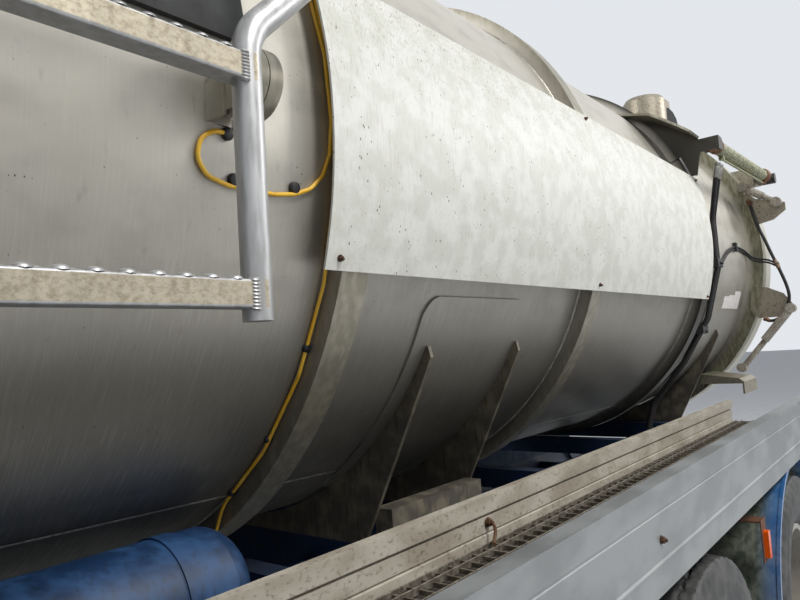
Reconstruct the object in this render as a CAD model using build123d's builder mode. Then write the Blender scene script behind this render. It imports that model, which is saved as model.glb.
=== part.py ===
from build123d import *
from math import asin, atan2, cos, degrees, hypot, pi, radians, sin, sqrt
import os

os.makedirs("parts", exist_ok=True)

# Vacuum tanker truck on three axles. +X forward, +Y left, +Z up, millimetres.
# The origin is on the ground, under the middle of the truck's length and width.

# Overall places
front_x = 4350
rear_x = -4350
ground_gap = 0.3
seat_gap = 0.3
moving_gap = 6

# Wheels: 22.5 inch rims, single in front and in pairs behind
wheel_radius = 530
tyre_half_width = 147.5
bead_radius = 286
bead_half_width = 105
rim_lip_radius = 300
rim_lip_width = 8
rim_barrel_wall = 10
front_axle_x = 2950
rear_axle_xs = (-1270, -2720)
front_tyre_y = 1020
twin_middle_y = 927
twin_spacing = 330

# Steering
kingpin_y = 880
kingpin_radius = 22
kingpin_boss_radius = 55
kingpin_boss_half = 90
knuckle_ear = 40
spindle_radius = 45
steering_arm = 160
steering_arm_inset = 30
arm_thickness = 26
tie_rod_radius = 16
tie_rod_drop = 8

# Rear axles
axle_tube_radius = 85
rear_spindle_radius = 60
drum_radius = 205
drum_inner_w = -200
differential_radius = 200
brake_chamber_y = 350

# Chassis
rail_outer_y = 430
rail_flange = 80
rail_wall = 8
rail_top_z = 1030
rail_depth = 270
rail_front_x = 4100
rail_rear_x = -3900
crossmember_xs = (4030, 2150, 900, -600, -1995, -3300)
crossmember_radius = 60

# Tank barrel, a welded drum along X
tank_bottom_z = 1300
tank_radius = 950
tank_z = tank_bottom_z + tank_radius
tank_wall = 12
barrel_front_x = 1300
joint_x = -3700
head_depth = 320
ring_height = 46
ring_radius = tank_radius + ring_height
ring_width = 79
ring_front_xs = (1290, 43, -1180, -2520)
flange_radius = tank_radius + 90
flange_width = 80

# Rear door, hinged across its top
door_gap = 5
door_ring_width = 135
door_ring_inner = tank_radius - 5
door_dish_depth = 260
door_dish_wall = 12
door_hinge_z = tank_z + flange_radius + 50
door_hinge_x = joint_x
hinge_y = 500
hinge_pin_radius = 20
door_open_deg = 80

# Rams that lift the rear door, one on each side
ram_y = 1060
ram_pin_x = -2560
ram_pin_z = 2705
ram_eye_x = -3960
ram_eye_z = 2760
ram_barrel_radius = 34
ram_barrel_length = 1240
ram_rod_radius = 19
ram_eye_radius = 34
ram_eye_half = 20
ram_pin_radius = 15
ram_pipe_radius = 6
ram_pipe_drop = 50

# Saddles and outriggers under the tank
subframe_y = 380
subframe_width = 90
subframe_top_z = 1190
saddle_xs = (980, -363, -813, -3160)
saddle_plate = 12
saddle_tip_deg = 30
outrigger_xs = (1150, -100, -620, -1500, -2400, -3100)
outrigger_half_width = 35
outrigger_depth = 80

# Trays along both sides of the tank
tray_front_x = 1250
tray_inner_rear_x = -3050
tray_outer_rear_x = -3300
tray_outer_y = 1250
tray_inner_y = 905
tray_inner_wall = 25
tray_top_z = 1396
tray_floor_z = 1264
tray_skirt_z = 1132
tray_wall = 4
tray_lip = 50
tray_bead = 5
grating_depth = 22
grating_margin = 20

# Sheet panels on the sides of the tank
panel_front_x = 96
panel_rear_x = -2610
panel_thickness = 5
panel_low_deg = -17.8
panel_high_deg = 18.6

# Cab
cab_rear_x = 2230
cab_face_x = 4325
cab_half_width = 1150
cab_floor_z = 1230
cab_nose_z = 1000
cab_roof_z = 2920
cab_wall = 45
tilt_x = 4300
tilt_z = 965
tilt_eye_y = 383
tilt_eye_half = 17
tilt_eye_radius = 24
tilt_pin_radius = 15
tilt_plate_y = 407
door_front_x = 3990
door_rear_x = 3060
door_low_z = 1265
door_high_z = 2690
door_edge_gap = 9
hinge_axis_x = door_front_x - door_edge_gap / 2
hinge_axis_y = cab_half_width + 13
hinge_knuckle_radius = 12
hinge_rod_radius = 6
door_hinge_zs = (1420, 2480)
glass_inset = 12
glass_thickness = 6
windscreen_low_z = 1790
windscreen_high_z = 2610

# Ladder on the left side
ladder_y = ring_radius + 184
ladder_rear_x = 447
ladder_width = 400
ladder_tube = 20
ladder_foot_z = 1828
rung_pitch = 296
first_rung_z = 1862

x_axis_plane = Plane(origin=(0, 0, 0), x_dir=(0, 1, 0), z_dir=(1, 0, 0))


def across(x):
    """Plane across the truck at x: local x is Y and local y is Z."""
    return Plane(origin=(x, 0, 0), x_dir=(0, 1, 0), z_dir=(1, 0, 0))


def side_plane(y):
    """Plane along the truck at y: local x is X, local y is Z, normal towards -Y."""
    return Plane(origin=(0, y, 0), x_dir=(1, 0, 0), z_dir=(0, -1, 0))


def wheel_plane(axle_x):
    """Plane through an axle's line: local x is Y and local y is the radius."""
    return Plane(origin=(axle_x, 0, wheel_radius), x_dir=(0, 1, 0), z_dir=(1, 0, 0))


def wheel_axis(axle_x):
    return Axis((axle_x, 0, wheel_radius), (0, 1, 0))


tank_axis = Axis((0, 0, tank_z), (1, 0, 0))


def save(builder, label):
    """Name the finished piece and write it out."""
    builder.part.label = label
    export_step(builder.part, f"parts/{label}.step")


# Tyres. Each section is a tread band, two shoulders and two bulged side walls.
def tyre(axle_x, centres):
    with BuildPart() as tyres:
        for middle in centres:
            with BuildSketch(wheel_plane(axle_x)):
                with BuildLine():
                    for side in (-1, 1):
                        bead = middle + side * (bead_half_width - seat_gap)
                        lip = middle + side * (bead_half_width + rim_lip_width + seat_gap)
                        wall = middle + side * tyre_half_width
                        shoulder = middle + side * 0.87 * tyre_half_width
                        tread = middle + side * 0.75 * tyre_half_width
                        Polyline((middle, bead_radius), (bead, bead_radius),
                                 (bead, rim_lip_radius + seat_gap), (lip, rim_lip_radius + seat_gap))
                        bulge = wall - side * 7
                        Polyline((lip, rim_lip_radius + seat_gap), (bulge, 350), (wall, 410),
                                 (bulge, 470), (shoulder, wheel_radius - 20), (tread, wheel_radius),
                                 (middle, wheel_radius))
                make_face()
            revolve(axis=wheel_axis(axle_x))
    return tyres


def rim_barrel(middle):
    """Section of one rim barrel with its two lips, in the wheel plane."""
    outer = bead_half_width + rim_lip_width
    inner = bead_half_width
    seat = bead_radius - seat_gap
    wall = seat - rim_barrel_wall
    Polygon((middle - outer, wall), (middle + outer, wall), (middle + outer, rim_lip_radius),
            (middle + inner, rim_lip_radius), (middle + inner, seat), (middle - inner, seat),
            (middle - inner, rim_lip_radius), (middle - outer, rim_lip_radius), align=None)


hand_hole_circle = 234
hand_hole_radius = 25
barrel_bore = bead_radius - seat_gap - rim_barrel_wall


# Front rims: the disc bulges outwards and carries the hub and the brake disc.
def front_rim(side):
    hub_bore = spindle_radius + seat_gap
    middle = side * front_tyre_y
    disc = [(40, barrel_bore + 3), (72, barrel_bore + 3), (158, 205), (158, 112), (205, 95),
            (212, 80), (212, 0), (150, 0), (150, hub_bore), (-50, hub_bore), (-50, 110),
            (-45, 215), (-12, 215), (-12, 110), (100, 110), (146, 125), (146, 195)]
    with BuildPart() as rim:
        with BuildSketch(wheel_plane(front_axle_x)):
            rim_barrel(middle)
            Polygon(*[(middle + side * w, r) for w, r in disc], align=None)
        revolve(axis=wheel_axis(front_axle_x))
        hole_plane = Plane(origin=(front_axle_x, middle + side * 20, wheel_radius),
                           x_dir=(1, 0, 0), z_dir=(0, side, 0))
        with BuildSketch(hole_plane):
            with PolarLocations(hand_hole_circle, 10):
                Circle(hand_hole_radius)
        extrude(amount=150, mode=Mode.SUBTRACT)
    return rim


# Rear rims: two barrels whose cones meet in the middle, with hub and brake drum.
def twin_rim(axle_x, side):
    hub_bore = rear_spindle_radius + seat_gap
    middle = side * twin_middle_y
    cone = [(70, barrel_bore + 3), (96, barrel_bore + 3), (12, 185), (0, 185), (0, 200)]
    hub = [(drum_inner_w, hub_bore), (drum_inner_w, drum_radius), (-28, drum_radius), (-12, 190),
           (12, 190), (12, 122), (150, 115), (185, 80), (185, 0), (120, 0), (120, hub_bore)]
    with BuildPart() as rim:
        with BuildSketch(wheel_plane(axle_x)):
            for offset_y in (-twin_spacing / 2, twin_spacing / 2):
                rim_barrel(middle + offset_y)
            Polygon(*[(middle + w, r) for w, r in cone], align=None)
            Polygon(*[(middle - w, r) for w, r in cone], align=None)
            Polygon(*[(middle + side * w, r) for w, r in hub], align=None)
        revolve(axis=wheel_axis(axle_x))
        hole_plane = Plane(origin=(axle_x, middle, wheel_radius), x_dir=(1, 0, 0), z_dir=(0, 1, 0))
        with BuildSketch(hole_plane):
            with PolarLocations(hand_hole_circle, 8):
                Circle(hand_hole_radius)
        extrude(amount=110, both=True, mode=Mode.SUBTRACT)
    return rim


for side, side_name in ((1, "left"), (-1, "right")):
    save(tyre(front_axle_x, [side * front_tyre_y]), f"front_tyre_{side_name}")
    save(front_rim(side), f"front_rim_{side_name}")
    for number, axle_x in enumerate(rear_axle_xs, start=1):
        twins = [side * twin_middle_y - twin_spacing / 2, side * twin_middle_y + twin_spacing / 2]
        save(tyre(axle_x, twins), f"rear_tyres_{number}_{side_name}")
        save(twin_rim(axle_x, side), f"rear_rims_{number}_{side_name}")


# Steering knuckles: a fork round the axle's boss, the kingpin, a web, the spindle and the arm.
ear_low = wheel_radius - kingpin_boss_half - moving_gap
ear_high = wheel_radius + kingpin_boss_half + moving_gap
web_y = kingpin_y + kingpin_boss_radius + 8
web_thickness = 21
arm_x = front_axle_x - steering_arm
arm_y = kingpin_y - steering_arm_inset
arm_top_z = ear_low - knuckle_ear + arm_thickness


def knuckle(side):
    ear_radius = kingpin_boss_radius - 7
    with BuildPart() as fork:
        for low in (ear_low - knuckle_ear, ear_high):
            with BuildSketch(Plane.XY.offset(low)):
                with Locations((front_axle_x, side * kingpin_y)):
                    Circle(ear_radius)
                with Locations((front_axle_x, side * (kingpin_y + web_y + web_thickness) / 2)):
                    Rectangle(2 * ear_radius, web_y + web_thickness - kingpin_y)
            extrude(amount=knuckle_ear)
        with BuildSketch(Plane.XY.offset(ear_low - knuckle_ear)):
            with Locations((front_axle_x, side * kingpin_y)):
                Circle(kingpin_radius)
        extrude(amount=ear_high + 2 * knuckle_ear - ear_low)
        with BuildSketch(side_plane(side * web_y)):
            with Locations((front_axle_x, wheel_radius)):
                RectangleRounded(2 * ear_radius, ear_high - ear_low + 2 * knuckle_ear, 20)
        extrude(amount=-side * web_thickness)
        with BuildSketch(side_plane(side * web_y)):
            with Locations((front_axle_x, wheel_radius)):
                Circle(spindle_radius)
        extrude(amount=-side * (front_tyre_y + 145 - web_y))
        with BuildSketch(Plane.XY.offset(ear_low - knuckle_ear)):
            with BuildLine():
                Polyline((front_axle_x - 10, side * (kingpin_y + 40)),
                         (front_axle_x - 10, side * (kingpin_y - 40)),
                         (arm_x, side * (arm_y - 18)), (arm_x, side * (arm_y + 18)), close=True)
            make_face()
            with Locations((arm_x, side * arm_y)):
                Circle(22)
        extrude(amount=arm_thickness)
    return fork


for side, side_name in ((1, "left"), (-1, "right")):
    save(knuckle(side), f"knuckle_{side_name}")

# Tie rod, hung under both steering arms.
tie_rod_z = ear_low - knuckle_ear - tie_rod_drop - tie_rod_radius
with BuildPart() as tie_rod:
    with BuildSketch(Plane.XZ.offset(-arm_y)):
        with Locations((arm_x, tie_rod_z)):
            Circle(tie_rod_radius)
    extrude(amount=2 * arm_y)
    with BuildSketch(Plane.XY.offset(tie_rod_z - tie_rod_radius)):
        with Locations((arm_x, arm_y), (arm_x, -arm_y)):
            Circle(21)
    extrude(amount=2 * tie_rod_radius)
    with BuildSketch(Plane.XY.offset(tie_rod_z)):
        with Locations((arm_x, arm_y), (arm_x, -arm_y)):
            Circle(13)
    extrude(amount=tie_rod_radius + tie_rod_drop - 2 * seat_gap)
save(tie_rod, "tie_rod")

# Axles: the dropped front beam and two driven rear housings, with their leaf springs.
front_spring_y = 410
rear_spring_y = 515
spring_width = 80
rear_spring_middle_x = (rear_axle_xs[0] + rear_axle_xs[1]) / 2
rear_spring_half = (rear_axle_xs[0] - rear_axle_xs[1]) / 2
beam_outline = [(0, 392), (290, 398), (400, 478), (620, 470), (840, 478), (840, 582), (620, 566),
                (470, 598), (350, 598), (270, 498), (0, 488)]
with BuildPart() as axles:
    with BuildSketch(across(front_axle_x - 50)):
        Polygon(*beam_outline, align=None)
        mirror(about=Plane.YZ)
    extrude(amount=100)
    with BuildSketch(Plane.XY.offset(wheel_radius - kingpin_boss_half)):
        with Locations((front_axle_x, kingpin_y), (front_axle_x, -kingpin_y)):
            Circle(kingpin_boss_radius)
    extrude(amount=2 * kingpin_boss_half)
    with BuildSketch(Plane.XY.offset(wheel_radius - kingpin_boss_half - 1)):
        with Locations((front_axle_x, kingpin_y), (front_axle_x, -kingpin_y)):
            Circle(kingpin_radius + seat_gap)
    extrude(amount=2 * kingpin_boss_half + 2, mode=Mode.SUBTRACT)
    for axle_x in rear_axle_xs:
        backplate_y = twin_middle_y + drum_inner_w - moving_gap
        with BuildSketch(wheel_plane(axle_x)):
            Polygon((-twin_middle_y - 115, 0), (-twin_middle_y - 115, rear_spindle_radius),
                    (-backplate_y, rear_spindle_radius), (-backplate_y, drum_radius - 5),
                    (-backplate_y + 12, drum_radius - 5), (-backplate_y + 12, axle_tube_radius),
                    (-240, axle_tube_radius), (-150, differential_radius),
                    (150, differential_radius), (240, axle_tube_radius),
                    (backplate_y - 12, axle_tube_radius), (backplate_y - 12, drum_radius - 5),
                    (backplate_y, drum_radius - 5), (backplate_y, rear_spindle_radius),
                    (twin_middle_y + 115, rear_spindle_radius), (twin_middle_y + 115, 0), align=None)
        revolve(axis=wheel_axis(axle_x))
        with BuildSketch(across(axle_x)):
            with Locations((0, wheel_radius)):
                Circle(115)
        extrude(amount=330)
        with BuildSketch(across(axle_x + 60)):
            with Locations((brake_chamber_y, wheel_radius + 40), (-brake_chamber_y, wheel_radius + 40)):
                Circle(45)
        extrude(amount=70)
        with BuildSketch(across(axle_x + 110)):
            with Locations((brake_chamber_y, wheel_radius + 40), (-brake_chamber_y, wheel_radius + 40)):
                Circle(82)
        extrude(amount=170)
    # Leaf springs: two long packs in front, two rocking packs between the rear axles
    for side in (1, -1):
        with BuildSketch(side_plane(side * front_spring_y)):
            with BuildLine():
                ThreePointArc((front_axle_x - 740, 725), (front_axle_x, 640), (front_axle_x + 740, 725))
                Line((front_axle_x + 740, 725), (front_axle_x + 740, 700))
                ThreePointArc((front_axle_x + 740, 700), (front_axle_x, 596), (front_axle_x - 740, 700))
                Line((front_axle_x - 740, 700), (front_axle_x - 740, 725))
            make_face()
        extrude(amount=spring_width / 2, both=True)
        with BuildSketch(side_plane(side * rear_spring_y)):
            low = wheel_radius + axle_tube_radius - 2
            left = rear_spring_middle_x - rear_spring_half
            right = rear_spring_middle_x + rear_spring_half
            with BuildLine():
                ThreePointArc((left, low + 30), (rear_spring_middle_x, 790), (right, low + 30))
                Line((right, low + 30), (right, low))
                ThreePointArc((right, low), (rear_spring_middle_x, 690), (left, low))
                Line((left, low), (left, low + 30))
            make_face()
        extrude(amount=spring_width / 2, both=True)
save(axles, "axles")

# Chassis: two channel rails, tube crossmembers, spring hangers and the rear underrun bar.
bar_low_z = 430
bar_depth = 120
with BuildPart() as chassis_frame:
    for side in (1, -1):
        outer = side * rail_outer_y
        inner = side * (rail_outer_y - rail_flange)
        web = side * (rail_outer_y - rail_wall)
        low = rail_top_z - rail_depth
        with BuildSketch(across(rail_rear_x)):
            Polygon((outer, low), (outer, rail_top_z), (inner, rail_top_z),
                    (inner, rail_top_z - rail_wall), (web, rail_top_z - rail_wall),
                    (web, low + rail_wall), (inner, low + rail_wall), (inner, low), align=None)
        extrude(amount=rail_front_x - rail_rear_x)
        for hanger_x in (front_axle_x - 740, front_axle_x + 740):
            with BuildSketch(side_plane(side * front_spring_y)):
                Polygon((hanger_x - 70, low + 4), (hanger_x + 70, low + 4), (hanger_x + 35, 725.3),
                        (hanger_x - 35, 725.3), align=None)
            extrude(amount=spring_width / 2, both=True)
        with BuildSketch(side_plane(side * (rail_outer_y - 1))):
            Polygon((rear_spring_middle_x - 200, rail_top_z - 40),
                    (rear_spring_middle_x + 200, rail_top_z - 40),
                    (rear_spring_middle_x + 90, 600), (rear_spring_middle_x - 90, 600), align=None)
        extrude(amount=-side * 40)
        with BuildSketch(side_plane(side * (rail_outer_y - 1))):
            with Locations((rear_spring_middle_x, 600)):
                Rectangle(180, 177)
        extrude(amount=-side * (rear_spring_y + spring_width / 2 + 10 - rail_outer_y))
        with BuildSketch(side_plane(side * (rail_outer_y - 40))):
            Polygon((rail_rear_x, 1000), (rail_rear_x + 260, 1000), (rear_x + 100, bar_low_z),
                    (rear_x, bar_low_z), (rear_x, bar_low_z + bar_depth + 60), align=None)
        extrude(amount=-side * 16)
        # Bracket and pin that the cab tilts on
        with BuildSketch(side_plane(side * tilt_plate_y)):
            Polygon((3940, 880), (rail_front_x, 880), (4240, 925), (tilt_x + 10, tilt_z - 22),
                    (tilt_x + 24, tilt_z), (tilt_x + 10, tilt_z + 22), (tilt_x - 20, tilt_z + 24),
                    (4160, 975), (4060, 975), (3940, 940), align=None)
        extrude(amount=-side * 18)
        with BuildSketch(side_plane(side * (tilt_plate_y + 10))):
            with Locations((tilt_x, tilt_z)):
                Circle(tilt_pin_radius)
        extrude(amount=side * 60)
    for member_x in crossmember_xs:
        with BuildSketch(side_plane(rail_outer_y - rail_wall)):
            with Locations((member_x, rail_top_z - rail_depth / 2)):
                Circle(crossmember_radius)
        extrude(amount=2 * (rail_outer_y - rail_wall))
    with BuildSketch(side_plane(1200)):
        with Locations((rear_x + 50, bar_low_z + bar_depth / 2)):
            RectangleRounded(100, bar_depth, 20)
    extrude(amount=2400)
save(chassis_frame, "chassis_frame")

# Engine, one plain block under the cab.
with BuildPart() as engine:
    with BuildSketch(side_plane(320)):
        Polygon((2500, 700), (3000, 640), (3850, 640), (3850, 1150), (3700, 1190), (2700, 1190),
                (2500, 1000), align=None)
    extrude(amount=640)
    with BuildSketch(across(2800), across(3500)):
        with Locations((0, rail_top_z - rail_depth + rail_wall + seat_gap + 15)):
            Rectangle(2 * (rail_outer_y - 40), 30)
    extrude(amount=80)
save(engine, "engine")

# Fuel tank on the left, on two straps from the rail.
with BuildPart() as fuel_tank:
    with BuildSketch(across(900)):
        with Locations((850, 700)):
            RectangleRounded(620, 600, 150)
    extrude(amount=1200)
    with BuildSketch(across(1060), across(1760)):
        with Locations((850, 700)):
            RectangleRounded(632, 612, 156)
        with Locations((500, 900)):
            Rectangle(140 - 2 * seat_gap, 90)
    extrude(amount=60)
save(fuel_tank, "fuel_tank")

# Air reservoirs: one above the chassis on each side, as domed cylinders.
air_tank_radius = 125
air_tank_y = 610
air_tank_gap = 41
air_tank_z = tank_z - sqrt((tank_radius + air_tank_gap + air_tank_radius) ** 2 - air_tank_y ** 2)
with BuildPart() as air_tanks:
    for side in (1, -1):
        with BuildSketch(Plane(origin=(0, side * air_tank_y, air_tank_z), x_dir=(1, 0, 0), z_dir=(0, -1, 0))):
            with BuildLine():
                Polyline((90, 0), (760, 0), (760, 40))
                RadiusArc((760, 40), (690, air_tank_radius), -95)
                Line((690, air_tank_radius), (160, air_tank_radius))
                RadiusArc((160, air_tank_radius), (90, 40), -95)
                Line((90, 40), (90, 0))
            make_face()
        revolve(axis=Axis((0, side * air_tank_y, air_tank_z), (1, 0, 0)))
        for strap_x in (230, 590):
            with BuildSketch(across(strap_x)):
                with Locations((side * (560 + subframe_y + subframe_width / 2 + seat_gap) / 2, 1185)):
                    Rectangle(560 - subframe_y - subframe_width / 2 - seat_gap, 50)
                with Locations((side * air_tank_y, air_tank_z)):
                    Circle(air_tank_radius + 4)
            extrude(amount=40)
save(air_tanks, "air_tanks")

# Saddles: subframe rails, bolster plates up to the tank, and outriggers for the trays.
pad_thickness = 6
saddle_radius = tank_radius + pad_thickness + seat_gap
contact_y = saddle_radius * cos(radians(saddle_tip_deg))
contact_z = tank_z - saddle_radius * sin(radians(saddle_tip_deg))
with BuildPart() as tank_saddles:
    for side in (1, -1):
        with BuildSketch(across(joint_x + 100)):
            with Locations((side * subframe_y, (rail_top_z + subframe_top_z) / 2)):
                Rectangle(subframe_width, subframe_top_z - rail_top_z)
        extrude(amount=barrel_front_x - joint_x - 150)
    for plate_x in saddle_xs:
        with BuildSketch(across(plate_x - saddle_plate)):
            with BuildLine():
                Polyline((0, subframe_top_z - 30), (545, subframe_top_z - 30), (586, 1265),
                         (contact_y + 22, contact_z - 12), (contact_y + 16, contact_z + 16),
                         (contact_y, contact_z + 18), (0, contact_z + 18), (0, subframe_top_z - 30))
            make_face()
            mirror(about=Plane.YZ)
            with Locations((0, tank_z)):
                Circle(saddle_radius, mode=Mode.SUBTRACT)
        extrude(amount=saddle_plate)
    for beam_x in outrigger_xs:
        with BuildSketch(across(beam_x - outrigger_half_width)):
            with Locations((0, tray_floor_z - seat_gap - outrigger_depth / 2)):
                Rectangle(2 * (tray_outer_y - tray_wall - seat_gap), outrigger_depth)
        extrude(amount=2 * outrigger_half_width)
    with BuildSketch(across(saddle_xs[2])):
        with Locations((650, 1300), (-650, 1300)):
            Rectangle(60, 130)
    extrude(amount=saddle_xs[1] - saddle_xs[2] - saddle_plate)
    split_low = Plane.XY.offset(rail_top_z + seat_gap)
    split(bisect_by=split_low, keep=Keep.TOP)
save(tank_saddles, "tank_saddles")


# Tank barrel: one revolved shell with rings, front head and rear flange, and what is welded on.
def arc_radius(half_chord, rise):
    return (half_chord ** 2 + rise ** 2) / (2 * rise)


outer_head = arc_radius(tank_radius, head_depth)
inner_radius = tank_radius - tank_wall
inner_head = arc_radius(inner_radius, head_depth - tank_wall)
neck_top_z = tank_z + tank_radius + 120
lid_hinge_x = 620
lid_hinge_z = neck_top_z + 20
can_rear_x = 280
can_y = tank_radius + 58
can_z = tank_z - 15
can_radius = 60
dome_x = -3370
dome_y = 490
dome_radius = 132
dome_top_z = tank_z + tank_radius + 85
dome_foot_z = tank_z + sqrt(tank_radius**2 - (dome_y + dome_radius)**2) - 10
pipe_y = -300
pipe_head_z = tank_z + 600
pipe_end_x = 1520
# Front end, length, and the angle below the side at which each doubler pad starts
pads = ((1190, 285, 21), (-310, 520, 21), (-2860, 700, 21))
pad_foot_deg = 62
with BuildPart() as doubler_pads:
    for side in (1, -1):
        for pad_front_x, pad_length, start_deg in pads:
            top_z = tank_z - tank_radius * sin(radians(start_deg))
            foot_z = tank_z - tank_radius * sin(radians(pad_foot_deg))
            with BuildSketch(side_plane(side * (tank_radius + pad_thickness + 1))):
                with Locations((pad_front_x - pad_length / 2, (top_z + foot_z) / 2)):
                    RectangleRounded(pad_length, top_z - foot_z, 60)
            extrude(amount=side * 0.6 * tank_radius)
    with BuildSketch(across(joint_x)):
        with Locations((0, tank_z)):
            Circle(tank_radius + pad_thickness)
            Circle(tank_radius - 4, mode=Mode.SUBTRACT)
    extrude(amount=barrel_front_x - joint_x, mode=Mode.INTERSECT)
lock_plane_x = joint_x + flange_width
lock_thickness = 12
ear_plate = 12
ear_x = ring_front_xs[3] + ear_plate
# Top flanges of the ram ears: a bent strip cut to a rounded plan
with BuildPart() as ear_flanges:
    for side in (1, -1):
        with BuildSketch(across(ear_x - ear_plate)):
            Polygon((side * 600, 2961), (side * 640, 2944), (side * 833, 2861), (side * 1003, 2744),
                    (side * 1009, 2753), (side * 839, 2870), (side * 645, 2954), (side * 605, 2971), align=None)
        extrude(amount=240)
    with BuildSketch(Plane.XY.offset(2600)):
        with BuildLine():
            Polyline((ear_x, 1016), (ear_x - ear_plate, 1016), (ear_x - ear_plate, 560), (ear_x, 560),
                     (ear_x + 130, 745), (ear_x + 205, 850))
            ThreePointArc((ear_x + 205, 850), (ear_x + 195, 955), (ear_x, 1016))
        make_face()
        mirror(about=Plane.XZ)
    extrude(amount=500, mode=Mode.INTERSECT)
with BuildPart() as tank_barrel:
    with BuildSketch(Plane(origin=(0, 0, tank_z), x_dir=(1, 0, 0), z_dir=(0, -1, 0))):
        with BuildLine():
            Polyline((joint_x, tank_radius), (barrel_front_x, tank_radius))
            RadiusArc((barrel_front_x, tank_radius), (barrel_front_x + head_depth, 0), outer_head)
            Line((barrel_front_x + head_depth, 0), (barrel_front_x + head_depth - tank_wall, 0))
            RadiusArc((barrel_front_x + head_depth - tank_wall, 0), (barrel_front_x, inner_radius),
                      -inner_head)
            Polyline((barrel_front_x, inner_radius), (joint_x, inner_radius), (joint_x, tank_radius))
        make_face()
        for ring_x in ring_front_xs:
            Polygon((ring_x - ring_width, tank_radius - 4), (ring_x, tank_radius - 4),
                    (ring_x, ring_radius), (ring_x - ring_width, ring_radius), align=None)
        Polygon((joint_x, tank_radius - 4), (joint_x + flange_width, tank_radius - 4),
                (joint_x + flange_width, flange_radius), (joint_x, flange_radius), align=None)
    revolve(axis=tank_axis)
    add(doubler_pads.part)
    add(ear_flanges.part)
    # Brackets of the door locks on the front face of the flange
    for side in (1, -1):
        for lock_outline in (((980, 2640), (1032, 2585), (1190, 2535), (1190, 2490), (1120, 2440), (1010, 2420),
                              (950, 2500)),
                             ((960, 2040), (1045, 2030), (1130, 1985), (1175, 1915), (1175, 1870),
                              (1120, 1845), (980, 1845), (940, 1900))):
            with BuildSketch(across(lock_plane_x - 2)):
                Polygon(*[(side * y, z) for y, z in lock_outline], align=None)
            extrude(amount=lock_thickness + 2)
    # Shelf under the rear end of the barrel
    for side in (1, -1):
        with BuildSketch(across(joint_x + flange_width - 2)):
            Polygon((side * 690, 1530), (side * 905, 1500), (side * 930, 1480), (side * 930, 1410),
                    (side * 920, 1410), (side * 920, 1470), (side * 690, 1470), align=None)
            with Locations((0, tank_z)):
                Circle(tank_radius - 4, mode=Mode.SUBTRACT)
        extrude(amount=330)
    # Manhole neck on the top
    with BuildSketch(Plane.XY.offset(tank_z + tank_radius - 60)):
        with Locations((300, 0)):
            Circle(270)
    extrude(amount=180)
    with BuildSketch(Plane.XY.offset(tank_z + tank_radius - 100)):
        with Locations((300, 0)):
            Circle(250)
    extrude(amount=230, mode=Mode.SUBTRACT)
    with BuildSketch(side_plane(38), side_plane(-26)):
        with Locations((lid_hinge_x, lid_hinge_z)):
            Circle(22)
        Polygon((560, neck_top_z - 110), (lid_hinge_x + 22, neck_top_z - 60),
                (lid_hinge_x + 22, lid_hinge_z), (lid_hinge_x - 22, lid_hinge_z), (560, neck_top_z - 20),
                align=None)
    extrude(amount=12)
    with BuildSketch(side_plane(38)):
        with Locations((lid_hinge_x, lid_hinge_z)):
            Circle(10)
    extrude(amount=76)
    # Nozzle of the vacuum pipe on the front head
    with BuildSketch(across(1400)):
        with Locations((pipe_y, pipe_head_z)):
            Circle(90)
    extrude(amount=pipe_end_x - 1400)
    # Vent dome near the door, its foot cut to the barrel's bore
    with BuildSketch(Plane.XY.offset(dome_foot_z)):
        with Locations((dome_x, dome_y)):
            Circle(dome_radius)
    extrude(amount=dome_top_z - dome_foot_z)
    with BuildSketch(Plane.XY.offset(dome_top_z)):
        with Locations((dome_x, dome_y)):
            Circle(dome_radius)
    extrude(amount=25, taper=35)
    with BuildSketch(across(dome_x - dome_radius - 5)):
        with Locations((0, tank_z)):
            Circle(inner_radius)
    extrude(amount=2 * dome_radius + 10, mode=Mode.SUBTRACT)
    # Round can in two halves, and its angle bracket, on the left side behind the ladder
    with BuildSketch(across(can_rear_x)):
        with Locations((can_y, can_z)):
            Circle(can_radius)
    extrude(amount=27)
    with BuildSketch(across(can_rear_x + 26)):
        with Locations((can_y, can_z)):
            Circle(can_radius - 2)
    extrude(amount=4)
    with BuildSketch(across(can_rear_x + 29)):
        with Locations((can_y, can_z)):
            Circle(can_radius)
    extrude(amount=30)
    with BuildSketch(across(can_rear_x + 59)):
        with Locations((can_y, can_z)):
            Circle(can_radius - 8)
    extrude(amount=6)
    with BuildSketch(Plane.XY.offset(tank_z - 73)):
        Polygon((348, tank_radius - 6), (348, tank_radius + 48), (342, tank_radius + 48),
                (342, tank_radius + 2), (300, tank_radius + 2), (300, tank_radius - 6), align=None)
    extrude(amount=64)
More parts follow.
